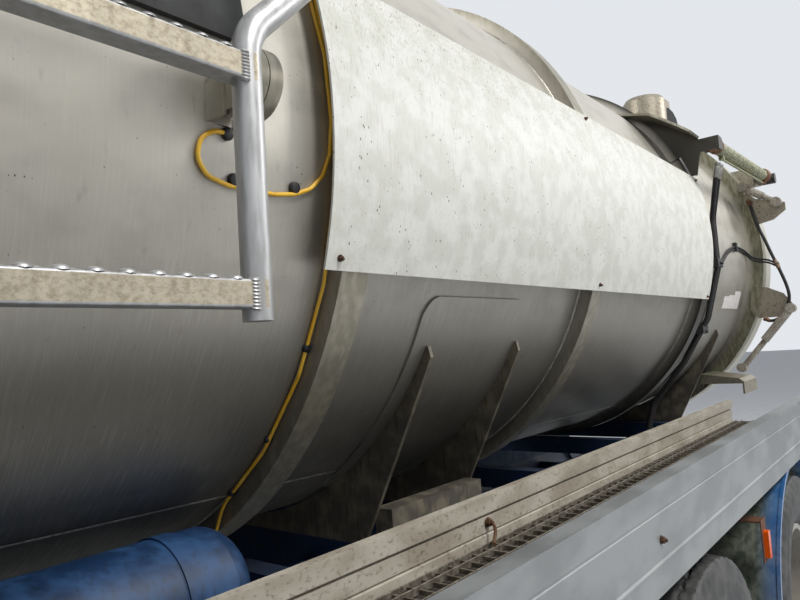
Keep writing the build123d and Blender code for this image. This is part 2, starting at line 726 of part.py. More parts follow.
    # Ears for the rams, with their clevis plates and pins, and the hinge lugs of the rear door
    for side in (1, -1):
        with BuildSketch(across(ear_x - ear_plate)):
            Polygon((side * 640, 2945), (side * 833, 2862), (side * 1003, 2745), (side * 1014, 2710),
                    (side * 985, 2560), (side * 958, 2562), (side * 936, 2618), (side * 914, 2670),
                    (side * 866, 2652), (side * 600, 2900), align=None)
            with Locations((0, tank_z)):
                Circle(tank_radius - 4, mode=Mode.SUBTRACT)
        extrude(amount=ear_plate)
        for plate_y in (ram_y - ram_eye_half - moving_gap - 12, ram_y + ram_eye_half + moving_gap):
            low_y = plate_y if side > 0 else -plate_y - 12
            with BuildSketch(side_plane(low_y + 12)):
                with Locations((ram_pin_x, ram_pin_z)):
                    Circle(32)
                with Locations(((ram_pin_x + ear_x) / 2, ram_pin_z)):
                    Rectangle(ear_x - ram_pin_x, 64)
            extrude(amount=12)
        with BuildSketch(side_plane(side * (ram_y + ram_eye_half + moving_gap + 12))):
            with Locations((ear_x - ear_plate / 2, ram_pin_z)):
                Rectangle(ear_plate, 64)
        extrude(amount=side * 110)
        with BuildSketch(side_plane(side * (ram_y + ram_eye_half + moving_gap + 12))):
            with Locations((ram_pin_x, ram_pin_z)):
                Circle(ram_pin_radius)
        extrude(amount=side * 2 * (ram_eye_half + moving_gap + 12))
        for lug_y in (side * hinge_y - 40, side * hinge_y + 40):
            with BuildSketch(side_plane(lug_y + 8)):
                with BuildLine():
                    Polyline((joint_x + 250, 3070), (joint_x + 250, 3180), (door_hinge_x + 30, door_hinge_z + 36))
                    Polyline((door_hinge_x + 30, door_hinge_z + 36), (door_hinge_x - 30, door_hinge_z + 36),
                             (door_hinge_x - 38, door_hinge_z - 30), (joint_x + 8, 3150),
                             (joint_x + 8, 3070), (joint_x + 250, 3070))
                make_face()
            extrude(amount=16)
        with BuildSketch(side_plane(side * hinge_y + 48)):
            with Locations((door_hinge_x, door_hinge_z)):
                Circle(hinge_pin_radius)
        extrude(amount=96)
save(tank_barrel, "tank_barrel")

# Side panels, rolled sheets on the rings.
panel_inner = ring_radius + seat_gap
with BuildPart() as side_panels:
    for side in (1, -1):
        with BuildSketch(across(panel_rear_x)):
            with BuildLine():
                inner_line = CenterArc((0, tank_z), panel_inner, panel_low_deg,
                                       panel_high_deg - panel_low_deg)
                outer_line = CenterArc((0, tank_z), panel_inner + panel_thickness, panel_low_deg,
                                       panel_high_deg - panel_low_deg)
                Line(inner_line @ 0, outer_line @ 0)
                Line(inner_line @ 1, outer_line @ 1)
            make_face()
            if side < 0:
                mirror(about=Plane.YZ, mode=Mode.REPLACE)
        extrude(amount=panel_front_x - panel_rear_x)
save(side_panels, "side_panels")

# Trays: an outer wall with a lip and a bead, a floor and a thick inner wall.
with BuildPart() as hose_trays:
    for side in (1, -1):
        wall = tray_outer_y - tray_wall
        with BuildSketch(across(tray_outer_rear_x)):
            Polygon((side * wall, tray_skirt_z), (side * tray_outer_y, tray_skirt_z),
                    (side * tray_outer_y, 1200), (side * (tray_outer_y + tray_bead), 1204),
                    (side * (tray_outer_y + tray_bead), 1210), (side * tray_outer_y, 1214),
                    (side * tray_outer_y, 1326), (side * (tray_outer_y - 2), 1328),
                    (side * (tray_outer_y - 2), 1332), (side * tray_outer_y, 1334),
                    (side * tray_outer_y, tray_top_z), (side * (tray_outer_y - tray_lip), tray_top_z),
                    (side * (tray_outer_y - tray_lip), tray_top_z - tray_wall),
                    (side * wall, tray_top_z - tray_wall), align=None)
        extrude(amount=tray_front_x - tray_outer_rear_x)
        with BuildSketch(across(tray_inner_rear_x)):
            Polygon((side * (tray_inner_y - tray_inner_wall), tray_floor_z),
                    (side * (wall + 1), tray_floor_z), (side * (wall + 1), tray_floor_z + 5),
                    (side * tray_inner_y, tray_floor_z + 5), (side * tray_inner_y, 1300),
                    (side * (tray_inner_y - 4), 1302), (side * (tray_inner_y - 4), 1306),
                    (side * tray_inner_y, 1308), (side * tray_inner_y, 1346),
                    (side * (tray_inner_y - 7), 1347), (side * (tray_inner_y - 7), 1354),
                    (side * (tray_inner_y + 5), 1355), (side * (tray_inner_y + 5), tray_top_z),
                    (side * (tray_inner_y - tray_inner_wall), tray_top_z), align=None)
        extrude(amount=tray_front_x - tray_inner_rear_x)
save(hose_trays, "hose_trays")

with BuildPart() as tray_gratings:
    for side in (1, -1):
        inner = tray_inner_y + grating_margin
        outer = tray_outer_y - tray_lip - 5
        with BuildSketch(across(tray_inner_rear_x + grating_margin)):
            with Locations((side * (inner + outer) / 2, tray_floor_z + 5 + seat_gap + grating_depth / 2)):
                Rectangle(outer - inner, grating_depth)
        extrude(amount=tray_front_x - tray_inner_rear_x - 2 * grating_margin)
save(tray_gratings, "tray_gratings")

# Rear door: a ring and a dished head, with hinge arms and the lugs that the rams push.
door_front_face = joint_x - door_gap
door_rear_face = door_front_face - door_ring_width
dish_outer = arc_radius(door_ring_inner + 10, door_dish_depth)
dish_inner = arc_radius(door_ring_inner, door_dish_depth - door_dish_wall)
dish_x = door_rear_face + 40
rod_eye_half = ram_barrel_radius + 6
lug_y = ram_y - rod_eye_half - moving_gap
with BuildPart() as rear_door:
    with BuildSketch(Plane(origin=(0, 0, tank_z), x_dir=(1, 0, 0), z_dir=(0, -1, 0))):
        Polygon((door_rear_face, door_ring_inner), (door_front_face, door_ring_inner),
                (door_front_face, flange_radius), (door_rear_face, flange_radius), align=None)
        with BuildLine():
            RadiusArc((dish_x, door_ring_inner + 10), (dish_x - door_dish_depth, 0), -dish_outer)
            Line((dish_x - door_dish_depth, 0), (dish_x - door_dish_depth + door_dish_wall, 0))
            RadiusArc((dish_x - door_dish_depth + door_dish_wall, 0), (dish_x, door_ring_inner),
                      dish_inner)
            Line((dish_x, door_ring_inner), (dish_x, door_ring_inner + 10))
        make_face()
    revolve(axis=tank_axis)
    for side in (1, -1):
        with BuildSketch(side_plane(side * hinge_y + 26)):
            with BuildLine():
                Polyline((door_front_face, 3100), (door_front_face - 40, door_hinge_z - 60),
                         (door_hinge_x + 36, door_hinge_z - 20), (door_hinge_x + 36, door_hinge_z + 20),
                         (door_hinge_x - 20, door_hinge_z + 36), (door_rear_face, door_hinge_z - 30),
                         (door_rear_face, 3100), (door_front_face, 3100))
            make_face()
            with Locations((door_hinge_x, door_hinge_z)):
                Circle(hinge_pin_radius + seat_gap, mode=Mode.SUBTRACT)
        extrude(amount=52)
        with BuildSketch(side_plane(side * lug_y)):
            with Locations((ram_eye_x, ram_eye_z)):
                Circle(36)
            Polygon((ram_eye_x, ram_eye_z - 36), (door_front_face - 20, ram_eye_z - 80),
                    (door_front_face - 20, ram_eye_z + 60), (ram_eye_x, ram_eye_z + 36), align=None)
        extrude(amount=side * 22)
        with BuildSketch(Plane(origin=(door_front_face - 70, side * lug_y, ram_eye_z - 10),
                               x_dir=(1, 0, 0), z_dir=(0, -side, 0))):
            Rectangle(90, 110)
        extrude(amount=lug_y + 80 - sqrt(flange_radius ** 2 - (ram_eye_z + 45 - tank_z) ** 2))
save(rear_door, "rear_door")

# Valves on the rear door: a bottom outlet and an upper inlet, each with a bolted flange.
outlet_radius = 76
outlet_flange_radius = 142
outlet_pcd = 240
outlet_bolt_radius = 11.5
dish_centre_x = dish_x - door_dish_depth + dish_outer
outlet_z = 1560
inlet_z = 2350
valve_face_x = -4330
with BuildPart() as door_valves:
    for valve_z, valve_y in ((outlet_z, 0), (inlet_z, 420)):
        distance = hypot(valve_z - tank_z, valve_y)
        sag = dish_outer - sqrt(dish_outer ** 2 - distance ** 2)
        start_x = dish_x - door_dish_depth + sag - seat_gap
        steepness = distance / dish_outer
        inner_x = start_x - outlet_radius * 1.25 * steepness
        with BuildSketch(across(valve_face_x)):
            with Locations((valve_y, valve_z)):
                Circle(outlet_radius + 10)
        extrude(amount=inner_x + 60 - valve_face_x)
        with BuildSketch(across(valve_face_x), across(valve_face_x + 90)):
            with Locations((valve_y, valve_z)):
                Circle(outlet_flange_radius)
        extrude(amount=22)
        with BuildSketch(across(valve_face_x + 22)):
            with Locations((valve_y, valve_z + 40)):
                RectangleRounded(250, 360, 60)
        extrude(amount=60)
        with BuildSketch(across(valve_face_x - 5)):
            with Locations((valve_y, valve_z)):
                Circle(outlet_radius)
        extrude(amount=110, mode=Mode.SUBTRACT)
        with BuildSketch(across(valve_face_x - 5)):
            with Locations((valve_y, valve_z)):
                with PolarLocations(outlet_pcd / 2, 8, start_angle=22.5):
                    Circle(outlet_bolt_radius)
        extrude(amount=27, mode=Mode.SUBTRACT)
    with Locations((dish_centre_x, 0, tank_z)):
        Sphere(dish_outer + seat_gap, mode=Mode.SUBTRACT)
save(door_valves, "door_valves")

# Rams: barrels that swing on the ears, rods that slide in them.
ram_angle = degrees(atan2(ram_eye_z - ram_pin_z, ram_pin_x - ram_eye_x))
ram_length = hypot(ram_eye_z - ram_pin_z, ram_pin_x - ram_eye_x)
back = Vector(-cos(radians(ram_angle)), 0, sin(radians(ram_angle)))
ram_bore = ram_rod_radius + seat_gap
with BuildPart() as ram_barrels:
    for side in (1, -1):
        pin = Vector(ram_pin_x, side * ram_y, ram_pin_z)
        with BuildSketch(Plane(origin=pin + back * (ram_eye_radius + 8), x_dir=(0, 1, 0), z_dir=back)):
            Circle(ram_barrel_radius)
        extrude(amount=ram_barrel_length - ram_eye_radius - 8)
        with BuildSketch(Plane(origin=pin + back * (ram_barrel_length - 60), x_dir=(0, 1, 0), z_dir=back)):
            Circle(ram_barrel_radius + 6)
        extrude(amount=60)
        with BuildSketch(side_plane(side * ram_y)):
            with Locations((ram_pin_x, ram_pin_z)):
                Circle(ram_eye_radius)
        extrude(amount=ram_eye_half, both=True)
        with BuildSketch(Plane(origin=pin + back * 20, x_dir=(0, 1, 0), z_dir=back)):
            Rectangle(2 * ram_eye_half, 50)
        extrude(amount=40)
        with BuildSketch(side_plane(side * ram_y)):
            with Locations((ram_pin_x, ram_pin_z)):
                Circle(ram_pin_radius + seat_gap)
        extrude(amount=ram_eye_half + 2, both=True, mode=Mode.SUBTRACT)
        # Oil pipe along the underside, on two stubs
        down = Vector(-back.Z, 0, back.X)
        with BuildSketch(Plane(origin=pin + back * 130 + down * ram_pipe_drop, x_dir=(0, 1, 0), z_dir=back)):
            Circle(ram_pipe_radius)
        extrude(amount=ram_barrel_length - 150)
        for stub in (150, ram_barrel_length - 35):
            with BuildSketch(Plane(origin=pin + back * stub + down * 30, x_dir=(0, 1, 0), z_dir=down)):
                Rectangle(24, 24)
            extrude(amount=ram_pipe_drop - 25)
        with BuildSketch(Plane(origin=pin + back * 90, x_dir=(0, 1, 0), z_dir=back)):
            Circle(ram_bore)
        extrude(amount=ram_barrel_length, mode=Mode.SUBTRACT)
save(ram_barrels, "ram_barrels")

rod_inside = 1000
with BuildPart() as ram_rods:
    for side in (1, -1):
        pin = Vector(ram_pin_x, side * ram_y, ram_pin_z)
        with BuildSketch(Plane(origin=pin + back * (ram_length - rod_inside), x_dir=(0, 1, 0), z_dir=back)):
            Circle(ram_rod_radius)
        extrude(amount=rod_inside - 10)
        with BuildSketch(side_plane(side * ram_y)):
            with Locations((ram_eye_x, ram_eye_z)):
                Circle(ram_eye_radius)
        extrude(amount=rod_eye_half, both=True)
save(ram_rods, "ram_rods")

# Manhole lid on its neck, hinged at the front edge.
with BuildPart() as manhole_lid:
    with BuildSketch(Plane.XY.offset(neck_top_z + 5)):
        with Locations((300, 0)):
            Circle(285)
    extrude(amount=14)
    with BuildSketch(Plane.XY.offset(neck_top_z + 5 + 14)):
        with Locations((300, 0)):
            Circle(235)
    extrude(amount=26, taper=35)
    with BuildSketch(side_plane(20)):
        with Locations((lid_hinge_x, lid_hinge_z)):
            Circle(22)
        with Locations(((lid_hinge_x + 500) / 2, lid_hinge_z - 8)):
            Rectangle(lid_hinge_x - 500, 14)
        with Locations((lid_hinge_x, lid_hinge_z)):
            Circle(10 + seat_gap, mode=Mode.SUBTRACT)
    extrude(amount=40)
save(manhole_lid, "manhole_lid")

# Ladder: two stringers whose tops flare and lean over the tank, with box rungs between.
flare = 187
bend_z = tank_z - 42
flared_z = tank_z + 140
lean_z = tank_z + 450
lean_y = ladder_y - 90
crown_y = ladder_y - 540
crown_z = tank_z + tank_radius + 80
with BuildPart() as ladder:
    for foot_x, lean in ((ladder_rear_x, -1), (ladder_rear_x + ladder_width, 1)):
        with BuildLine() as stringer:
            FilletPolyline((foot_x, ladder_y, ladder_foot_z), (foot_x, ladder_y, bend_z),
                           (foot_x + lean * flare, ladder_y - 10, flared_z),
                           (foot_x + lean * flare, lean_y, lean_z), (foot_x + lean * flare, crown_y, crown_z),
                           (foot_x + lean * flare, crown_y - 80, crown_z + 200), radius=80)
        with BuildSketch(Plane(origin=stringer.line @ 0, z_dir=stringer.line % 0)):
            Circle(ladder_tube)
        sweep(path=stringer.line)
    # Arms from the front stringer to pads on the barrel
    for arm_z in (1845, 2140):
        reach = sqrt(tank_radius ** 2 - (arm_z + 40 - tank_z) ** 2) + seat_gap
        with BuildSketch(side_plane(ladder_y)):
            with Locations((ladder_rear_x + ladder_width, arm_z)):
                Rectangle(30, 12)
        extrude(amount=ladder_y - reach)
        with BuildSketch(side_plane(reach + 8)):
            with Locations((ladder_rear_x + ladder_width, arm_z)):
                Rectangle(70, 80)
        extrude(amount=8)
    for step in range(5):
        rung_z = first_rung_z + step * rung_pitch
        rung_y = ladder_y
        half = ladder_width / 2
        if rung_z > flared_z:
            half = ladder_width / 2 + flare
            rung_y = ladder_y - 30
        if rung_z > lean_z:
            rung_y = lean_y - (rung_z - lean_z) * (lean_y - crown_y) / (crown_z - lean_z)
        with BuildSketch(across(ladder_rear_x + ladder_width / 2 - half)):
            with Locations((rung_y, rung_z)):
                RectangleRounded(36, 36, 4)
        extrude(amount=2 * half)
save(ladder, "ladder")

# Fenders: front arches with steps, rear arches over the last axle.
front_arch = 650
rear_arch = 620
arch_sheet = 6
lip_height = 10
lip_width = 14
# Axle, radius, lowest and highest angle, inner and outer edge
arches = (
    (front_axle_x, front_arch, 8, 172, 860, 1240),
    (rear_axle_xs[1], rear_arch, 10, 170, 612, 1240),
)
flap_x = rear_axle_xs[1] - (rear_arch + arch_sheet) * cos(radians(10)) - 8 + 2
with BuildPart() as fenders:
    for side in (1, -1):
        for axle_x, radius, low_deg, high_deg, inner_y, outer_y in arches:
            with BuildSketch(side_plane(side * outer_y)):
                with BuildLine():
                    inner_line = CenterArc((axle_x, wheel_radius), radius, low_deg, high_deg - low_deg)
                    outer_line = CenterArc((axle_x, wheel_radius), radius + arch_sheet, low_deg,
                                           high_deg - low_deg)
                    Line(inner_line @ 0, outer_line @ 0)
                    Line(inner_line @ 1, outer_line @ 1)
                make_face()
            extrude(amount=side * (outer_y - inner_y))
            with BuildSketch(side_plane(side * outer_y)):
                with BuildLine():
                    inner_line = CenterArc((axle_x, wheel_radius), radius - lip_height, low_deg,
                                           high_deg - low_deg)
                    outer_line = CenterArc((axle_x, wheel_radius), radius + arch_sheet + 4, low_deg,
                                           high_deg - low_deg)
                    Line(inner_line @ 0, outer_line @ 0)
                    Line(inner_line @ 1, outer_line @ 1)
                make_face()
            extrude(amount=side * lip_width)
        for bracket_x in (front_axle_x + 600, front_axle_x - 600):
            with BuildSketch(side_plane(side * (rail_outer_y + seat_gap))):
                with Locations((bracket_x, 782)):
                    Circle(18)
            extrude(amount=-side * (1200 - rail_outer_y))
        for bracket_x in (rear_axle_xs[1] - 440, rear_axle_xs[1] + 440):
            with BuildSketch(side_plane(side * (rail_outer_y + seat_gap))):
                with Locations((bracket_x, 971)):
                    Circle(18)
            extrude(amount=-side * 220)
        with BuildSketch(across(flap_x)):
            with Locations((side * 930, 480)):
                Rectangle(600, 420)
        extrude(amount=8)
save(fenders, "fenders")

with BuildPart() as cab_steps:
    for side in (1, -1):
        with BuildSketch(side_plane(side * 1240)):
            Polygon((3625, 430), (4030, 430), (4030, 1190), (3680, 1190), (3640, 900), align=None)
        extrude(amount=side * 300)
        with BuildSketch(side_plane(side * 1245)):
            with Locations((3840, 560), (3840, 860)):
                RectangleRounded(300, 200, 20)
        extrude(amount=side * 180, mode=Mode.SUBTRACT)
        with BuildSketch(side_plane(side * 942)):
            with Locations((3850, 800)):
                Rectangle(60, 60)
        extrude(amount=side * (942 - rail_outer_y - seat_gap))
save(cab_steps, "cab_steps")

# Side guards: two rails on three posts on the right, and a short pair on the left.
with BuildPart() as side_guards:
    for side, rear_end, front_end in ((1, -640, 850), (-1, -640, 1700)):
        with BuildSketch(across(rear_end)):
            with Locations((side * 1215, 500), (side * 1215, 800)):
                RectangleRounded(30, 110, 8)
        extrude(amount=front_end - rear_end)
        for post_x in (rear_end + 150, front_end - 150):
            with BuildSketch(across(post_x - 25)):
                with Locations((side * 1186, 700)):
                    Rectangle(28, 520)
                with Locations((side * 815.15, 870)):
                    Rectangle(769.7, 60)
            extrude(amount=50)
save(side_guards, "side_guards")

# Front bumper with pockets for the lamps.
bumper_back_x = 4140
lamp_y = 960
lamp_z = 690
bumper_low_z = 400
bumper_top_z = 930
with BuildPart() as front_bumper:
    with BuildSketch(Plane.XY.offset(bumper_low_z)):
        with BuildLine():
            Polyline((bumper_back_x, -1200), (bumper_back_x, -1240), (4230, -1240))
            RadiusArc((4230, -1240), (front_x, -1060), -260)
            Line((front_x, -1060), (front_x, 1060))
            RadiusArc((front_x, 1060), (4230, 1240), -260)
            Polyline((4230, 1240), (bumper_back_x, 1240), (bumper_back_x, 1200), (4210, 1200),
                     (4290, 1040), (4290, -1040), (4210, -1200), (bumper_back_x, -1200))
        make_face()
    extrude(amount=bumper_top_z - bumper_low_z)
    with BuildSketch(across(4200)):
        with Locations((lamp_y, lamp_z), (-lamp_y, lamp_z)):
            RectangleRounded(300, 190, 30)
        with Locations((0, 620)):
            RectangleRounded(1100, 160, 30)
    extrude(amount=200, mode=Mode.SUBTRACT)
    with BuildSketch(across(rail_front_x + seat_gap)):
        with Locations((rail_outer_y - 40, 820), (40 - rail_outer_y, 820)):
            Rectangle(80, 90)
    extrude(amount=4292 - rail_front_x - seat_gap)
save(front_bumper, "front_bumper")

marker_x = -2100
# Lamps: headlamps in the bumper, amber markers on the sides, tail lamps on the rear bar.
with BuildPart() as lamps:
    with BuildSketch(across(4250)):
        with Locations((lamp_y, lamp_z), (-lamp_y, lamp_z)):
            RectangleRounded(300 - 2 * seat_gap, 190 - 2 * seat_gap, 30 - seat_gap)
    extrude(amount=80)
    with BuildSketch(across(rear_x + 20)):
        with Locations((1000, 605.3), (-1000, 605.3)):
            RectangleRounded(360, 110, 15)
    extrude(amount=60)
    for side in (1, -1):
        with BuildSketch(side_plane(side * 1222)):
            with Locations((marker_x, 900)):
                RectangleRounded(36, 110, 8)
        extrude(amount=side * 22)
        with BuildSketch(side_plane(side * 1199)):
            Polygon((marker_x - 40, 830), (marker_x + 40, 830), (marker_x + 40, 1000),
                    (marker_x - 40, 1000), align=None)
        extrude(amount=-side * 4)
        with BuildSketch(Plane.XY.offset(990)):
            with Locations((marker_x, side * (1200 + rail_outer_y + seat_gap) / 2)):
                Rectangle(80, 1200 - rail_outer_y - seat_gap)
        extrude(amount=6)
save(lamps, "lamps")

# Vacuum pump behind the cab, with its pipe to the front head of the tank.
pipe_radius = 57
with BuildPart() as vacuum_pump:
    with BuildSketch(across(1750)):
        with Locations((-300, 1330)):
            RectangleRounded(420, 400, 60)
    extrude(amount=330)
    with BuildSketch(Plane.XY.offset(rail_top_z + seat_gap)):
        with Locations((1915, -300)):
            Rectangle(300, 320)
    extrude(amount=110)
    with BuildSketch(across(2080)):
        with Locations((-300, 1330)):
            Circle(130)
    extrude(amount=60)
    with BuildLine() as pipe_route:
        FilletPolyline((1900, pipe_y, 1530 + seat_gap), (1900, pipe_y, pipe_head_z),
                       (pipe_end_x + seat_gap, pipe_y, pipe_head_z), radius=160)
    with BuildSketch(Plane(origin=pipe_route.line @ 0, z_dir=pipe_route.line % 0)):
        Circle(pipe_radius)
    sweep(path=pipe_route.line)
save(vacuum_pump, "vacuum_pump")

# Cab envelope: side, plan and front outlines crossed, drawn smaller by the inset on every side.
cab_side = [(cab_rear_x, cab_floor_z), (4040, cab_floor_z), (4130, cab_nose_z), (cab_face_x, cab_nose_z),
            (cab_face_x, 1760), (4190, 2700), (4040, 2880), (3700, cab_roof_z), (cab_rear_x + 120, cab_roof_z - 20),
            (cab_rear_x, cab_roof_z - 90)]


def cab_envelope(inset):
    with BuildPart() as envelope:
        with BuildSketch(Plane.XZ):
            Polygon(*cab_side, align=None)
            if inset:
                offset(amount=-inset, kind=Kind.INTERSECTION, mode=Mode.REPLACE)
        extrude(amount=cab_half_width, both=True)
        with BuildSketch(Plane.XY.offset(900)):
            with BuildLine():
                front_corner = 200 - inset
                rear_corner = 70 - inset
                side_y = cab_half_width - inset
                face = cab_face_x - inset
                rear = cab_rear_x + inset
                Line((rear + rear_corner, side_y), (face - front_corner, side_y))
                RadiusArc((face - front_corner, side_y), (face, side_y - front_corner), front_corner)
                Line((face, side_y - front_corner), (face, front_corner - side_y))
                RadiusArc((face, front_corner - side_y), (face - front_corner, -side_y), front_corner)
                Line((face - front_corner, -side_y), (rear + rear_corner, -side_y))
                RadiusArc((rear + rear_corner, -side_y), (rear, rear_corner - side_y), rear_corner)
                Line((rear, rear_corner - side_y), (rear, side_y - rear_corner))
                RadiusArc((rear, side_y - rear_corner), (rear + rear_corner, side_y), rear_corner)
            make_face()
        extrude(amount=2200, mode=Mode.INTERSECT)
        with BuildSketch(across(2000)):
            with Locations((0, (800 + cab_roof_z - inset) / 2)):
                RectangleRounded(2 * (cab_half_width - inset), cab_roof_z - inset - 800, 130 - inset)
        extrude(amount=2600, mode=Mode.INTERSECT)
    return envelope.part


outer_cab = cab_envelope(0)
inner_cab = cab_envelope(cab_wall)


def door_outline(shrink):
    """Side view of a door, drawn smaller by the shrink all round, with raked front pillar."""
    with Locations(((door_front_x + door_rear_x) / 2, (door_low_z + door_high_z) / 2)):
        RectangleRounded(door_front_x - door_rear_x - 2 * shrink, door_high_z - door_low_z - 2 * shrink, 60)


with BuildPart() as cab_shell:
    add(outer_cab)
    add(inner_cab, mode=Mode.SUBTRACT)
    with BuildSketch(across(3900)):
        with Locations((0, (windscreen_low_z + windscreen_high_z) / 2)):
            RectangleRounded(2020, windscreen_high_z - windscreen_low_z, 80)
    extrude(amount=500, mode=Mode.SUBTRACT)
    with BuildSketch(across(2150)):
        with Locations((0, 2250)):
            RectangleRounded(1300, 480, 60)
    extrude(amount=200, mode=Mode.SUBTRACT)
    with BuildSketch(side_plane(1300)):
        door_outline(0)
    extrude(amount=300, mode=Mode.SUBTRACT)
    with BuildSketch(side_plane(-1000)):
        door_outline(0)
    extrude(amount=300, mode=Mode.SUBTRACT)
    # Outer knuckles and pins of the door hinges
    for side in (1, -1):
        for low_z in door_hinge_zs:
            with BuildSketch(Plane.XY.offset(low_z - 30), Plane.XY.offset(low_z + 41)):
                with Locations((hinge_axis_x, side * hinge_axis_y)):
                    Circle(hinge_knuckle_radius)
                with Locations((hinge_axis_x + 40, side * (cab_half_width + 6))):
                    Rectangle(80, 14)
            extrude(amount=29)
            with BuildSketch(Plane.XY.offset(low_z - 30)):
                with Locations((hinge_axis_x, side * hinge_axis_y)):
                    Circle(hinge_rod_radius)
            extrude(amount=100)
    # Eyes of the tilt pivot under the nose
    for side in (1, -1):
        with BuildSketch(side_plane(side * tilt_eye_y + tilt_eye_half)):
            with Locations((tilt_x, tilt_z)):
                Circle(tilt_eye_radius)
            with Locations((tilt_x, (tilt_z + cab_nose_z + 10) / 2)):
                Rectangle(2 * tilt_eye_radius, cab_nose_z + 10 - tilt_z)
            with Locations((tilt_x, tilt_z)):
                Circle(tilt_pin_radius + seat_gap, mode=Mode.SUBTRACT)
        extrude(amount=2 * tilt_eye_half)
save(cab_shell, "cab_shell")

glass_outer = cab_envelope(glass_inset)
glass_inner = cab_envelope(glass_inset + glass_thickness)
with BuildPart() as cab_glass:
    add(glass_outer)
    add(glass_inner, mode=Mode.SUBTRACT)
    with BuildSketch(across(3900)) as screen:
        with Locations((0, (windscreen_low_z + windscreen_high_z) / 2)):
            RectangleRounded(2020 - 2 * seat_gap, windscreen_high_z - windscreen_low_z - 2 * seat_gap, 80)
    with BuildSketch(across(2150)) as rear_light:
        with Locations((0, 2250)):
            RectangleRounded(1300 - 2 * seat_gap, 480 - 2 * seat_gap, 60)
    with BuildPart(mode=Mode.PRIVATE) as keep_zone:
        add(extrude(screen.sketch, amount=500, mode=Mode.PRIVATE))
        add(extrude(rear_light.sketch, amount=200, mode=Mode.PRIVATE))
    add(keep_zone.part, mode=Mode.INTERSECT)
save(cab_glass, "cab_glass")

# Cab doors: flat leaves in the side wall, each with its window and its pane.
window_low_z = 1820
window_high_z = 2610
window_front_x = door_front_x - 75
window_rear_x = door_rear_x + 75
for side, side_name in ((1, "left"), (-1, "right")):
    with BuildPart() as cab_door:
        with BuildSketch(side_plane(side * cab_half_width)):
            door_outline(door_edge_gap)
            with Locations(((window_front_x + window_rear_x) / 2, (window_low_z + window_high_z) / 2)):
                RectangleRounded(window_front_x - window_rear_x, window_high_z - window_low_z, 60,
                                 mode=Mode.SUBTRACT)
        extrude(amount=side * cab_wall)
        with BuildSketch(side_plane(side * (cab_half_width + 22))):
            with Locations((door_rear_x + 130, 1700)):
                RectangleRounded(160, 34, 10)
        extrude(amount=side * 22)
        for low_z in door_hinge_zs:
            with BuildSketch(Plane.XY.offset(low_z)):
                with Locations((hinge_axis_x, side * hinge_axis_y)):
                    Circle(hinge_knuckle_radius)
                with Locations((hinge_axis_x - 40, side * (cab_half_width + 6))):
                    Rectangle(80, 14)
                with Locations((hinge_axis_x, side * hinge_axis_y)):
                    Circle(hinge_rod_radius + seat_gap, mode=Mode.SUBTRACT)
            extrude(amount=40)
    save(cab_door, f"cab_door_{side_name}")
    with BuildPart() as door_glass:
        with BuildSketch(side_plane(side * (cab_half_width - glass_inset))):
            with Locations(((window_front_x + window_rear_x) / 2, (window_low_z + window_high_z) / 2)):
                RectangleRounded(window_front_x - window_rear_x - 2 * seat_gap,
                                 window_high_z - window_low_z - 2 * seat_gap, 60)
        extrude(amount=side * glass_thickness)
    save(door_glass, f"door_glass_{side_name}")

# Grille on the nose of the cab.
with BuildPart() as grille:
    with BuildSketch(across(cab_face_x + seat_gap)):
        with Locations((0, 1380)):
            RectangleRounded(1700, 560, 50)
    extrude(amount=front_x - cab_face_x - seat_gap)
    with BuildSketch(across(cab_face_x + 10)):
        with GridLocations(0, 100, 1, 5):
            with Locations((0, 1380)):
                RectangleRounded(1560, 60, 15)
    extrude(amount=60, mode=Mode.SUBTRACT)
save(grille, "grille")

# Mirrors on arms from the front pillars.
with BuildPart() as mirrors:
    for side in (1, -1):
        with BuildSketch(across(4040)):
            with Locations((side * (cab_half_width + 180), 2280)):
                RectangleRounded(170, 460, 40)
        extrude(amount=90)
        for arm_z in (2120, 2440):
            with BuildSketch(side_plane(side * (cab_half_width + 150))):
                with Locations((4085, arm_z)):
                    Circle(14)
            extrude(amount=side * (150 - seat_gap))
save(mirrors, "mirrors")

# Cab interior: a dashboard with the steering column, and two seats.
with BuildPart() as cab_interior:
    with BuildSketch(side_plane(1080)):
        Polygon((4180, 1400), (4000, 1450), (3960, 1640), (4010, 1740), (4150, 1770), (4270, 1740),
                (4270, 1400), align=None)
    extrude(amount=2160)
    add(cab_envelope(cab_wall + seat_gap), mode=Mode.INTERSECT)
    column = Plane(origin=(3990, 520, 1560), x_dir=(0, 1, 0), z_dir=(-0.62, 0, 0.78))
    with BuildSketch(column):
        Circle(45)
    extrude(amount=230)
    with BuildSketch(column):
        Circle(12)
    extrude(amount=255)
    for seat_y in (520, -520):
        with BuildSketch(side_plane(seat_y + 250)):
            with BuildLine():
                Polyline((3050, cab_floor_z + cab_wall), (3450, cab_floor_z + cab_wall), (3450, 1560),
                         (3570, 1590), (3570, 1700), (3110, 1690), (2960, 2380), (2840, 2350),
                         (2960, 1600), (3050, 1560), (3050, cab_floor_z + cab_wall))
            make_face()
        extrude(amount=500)
save(cab_interior, "cab_interior")

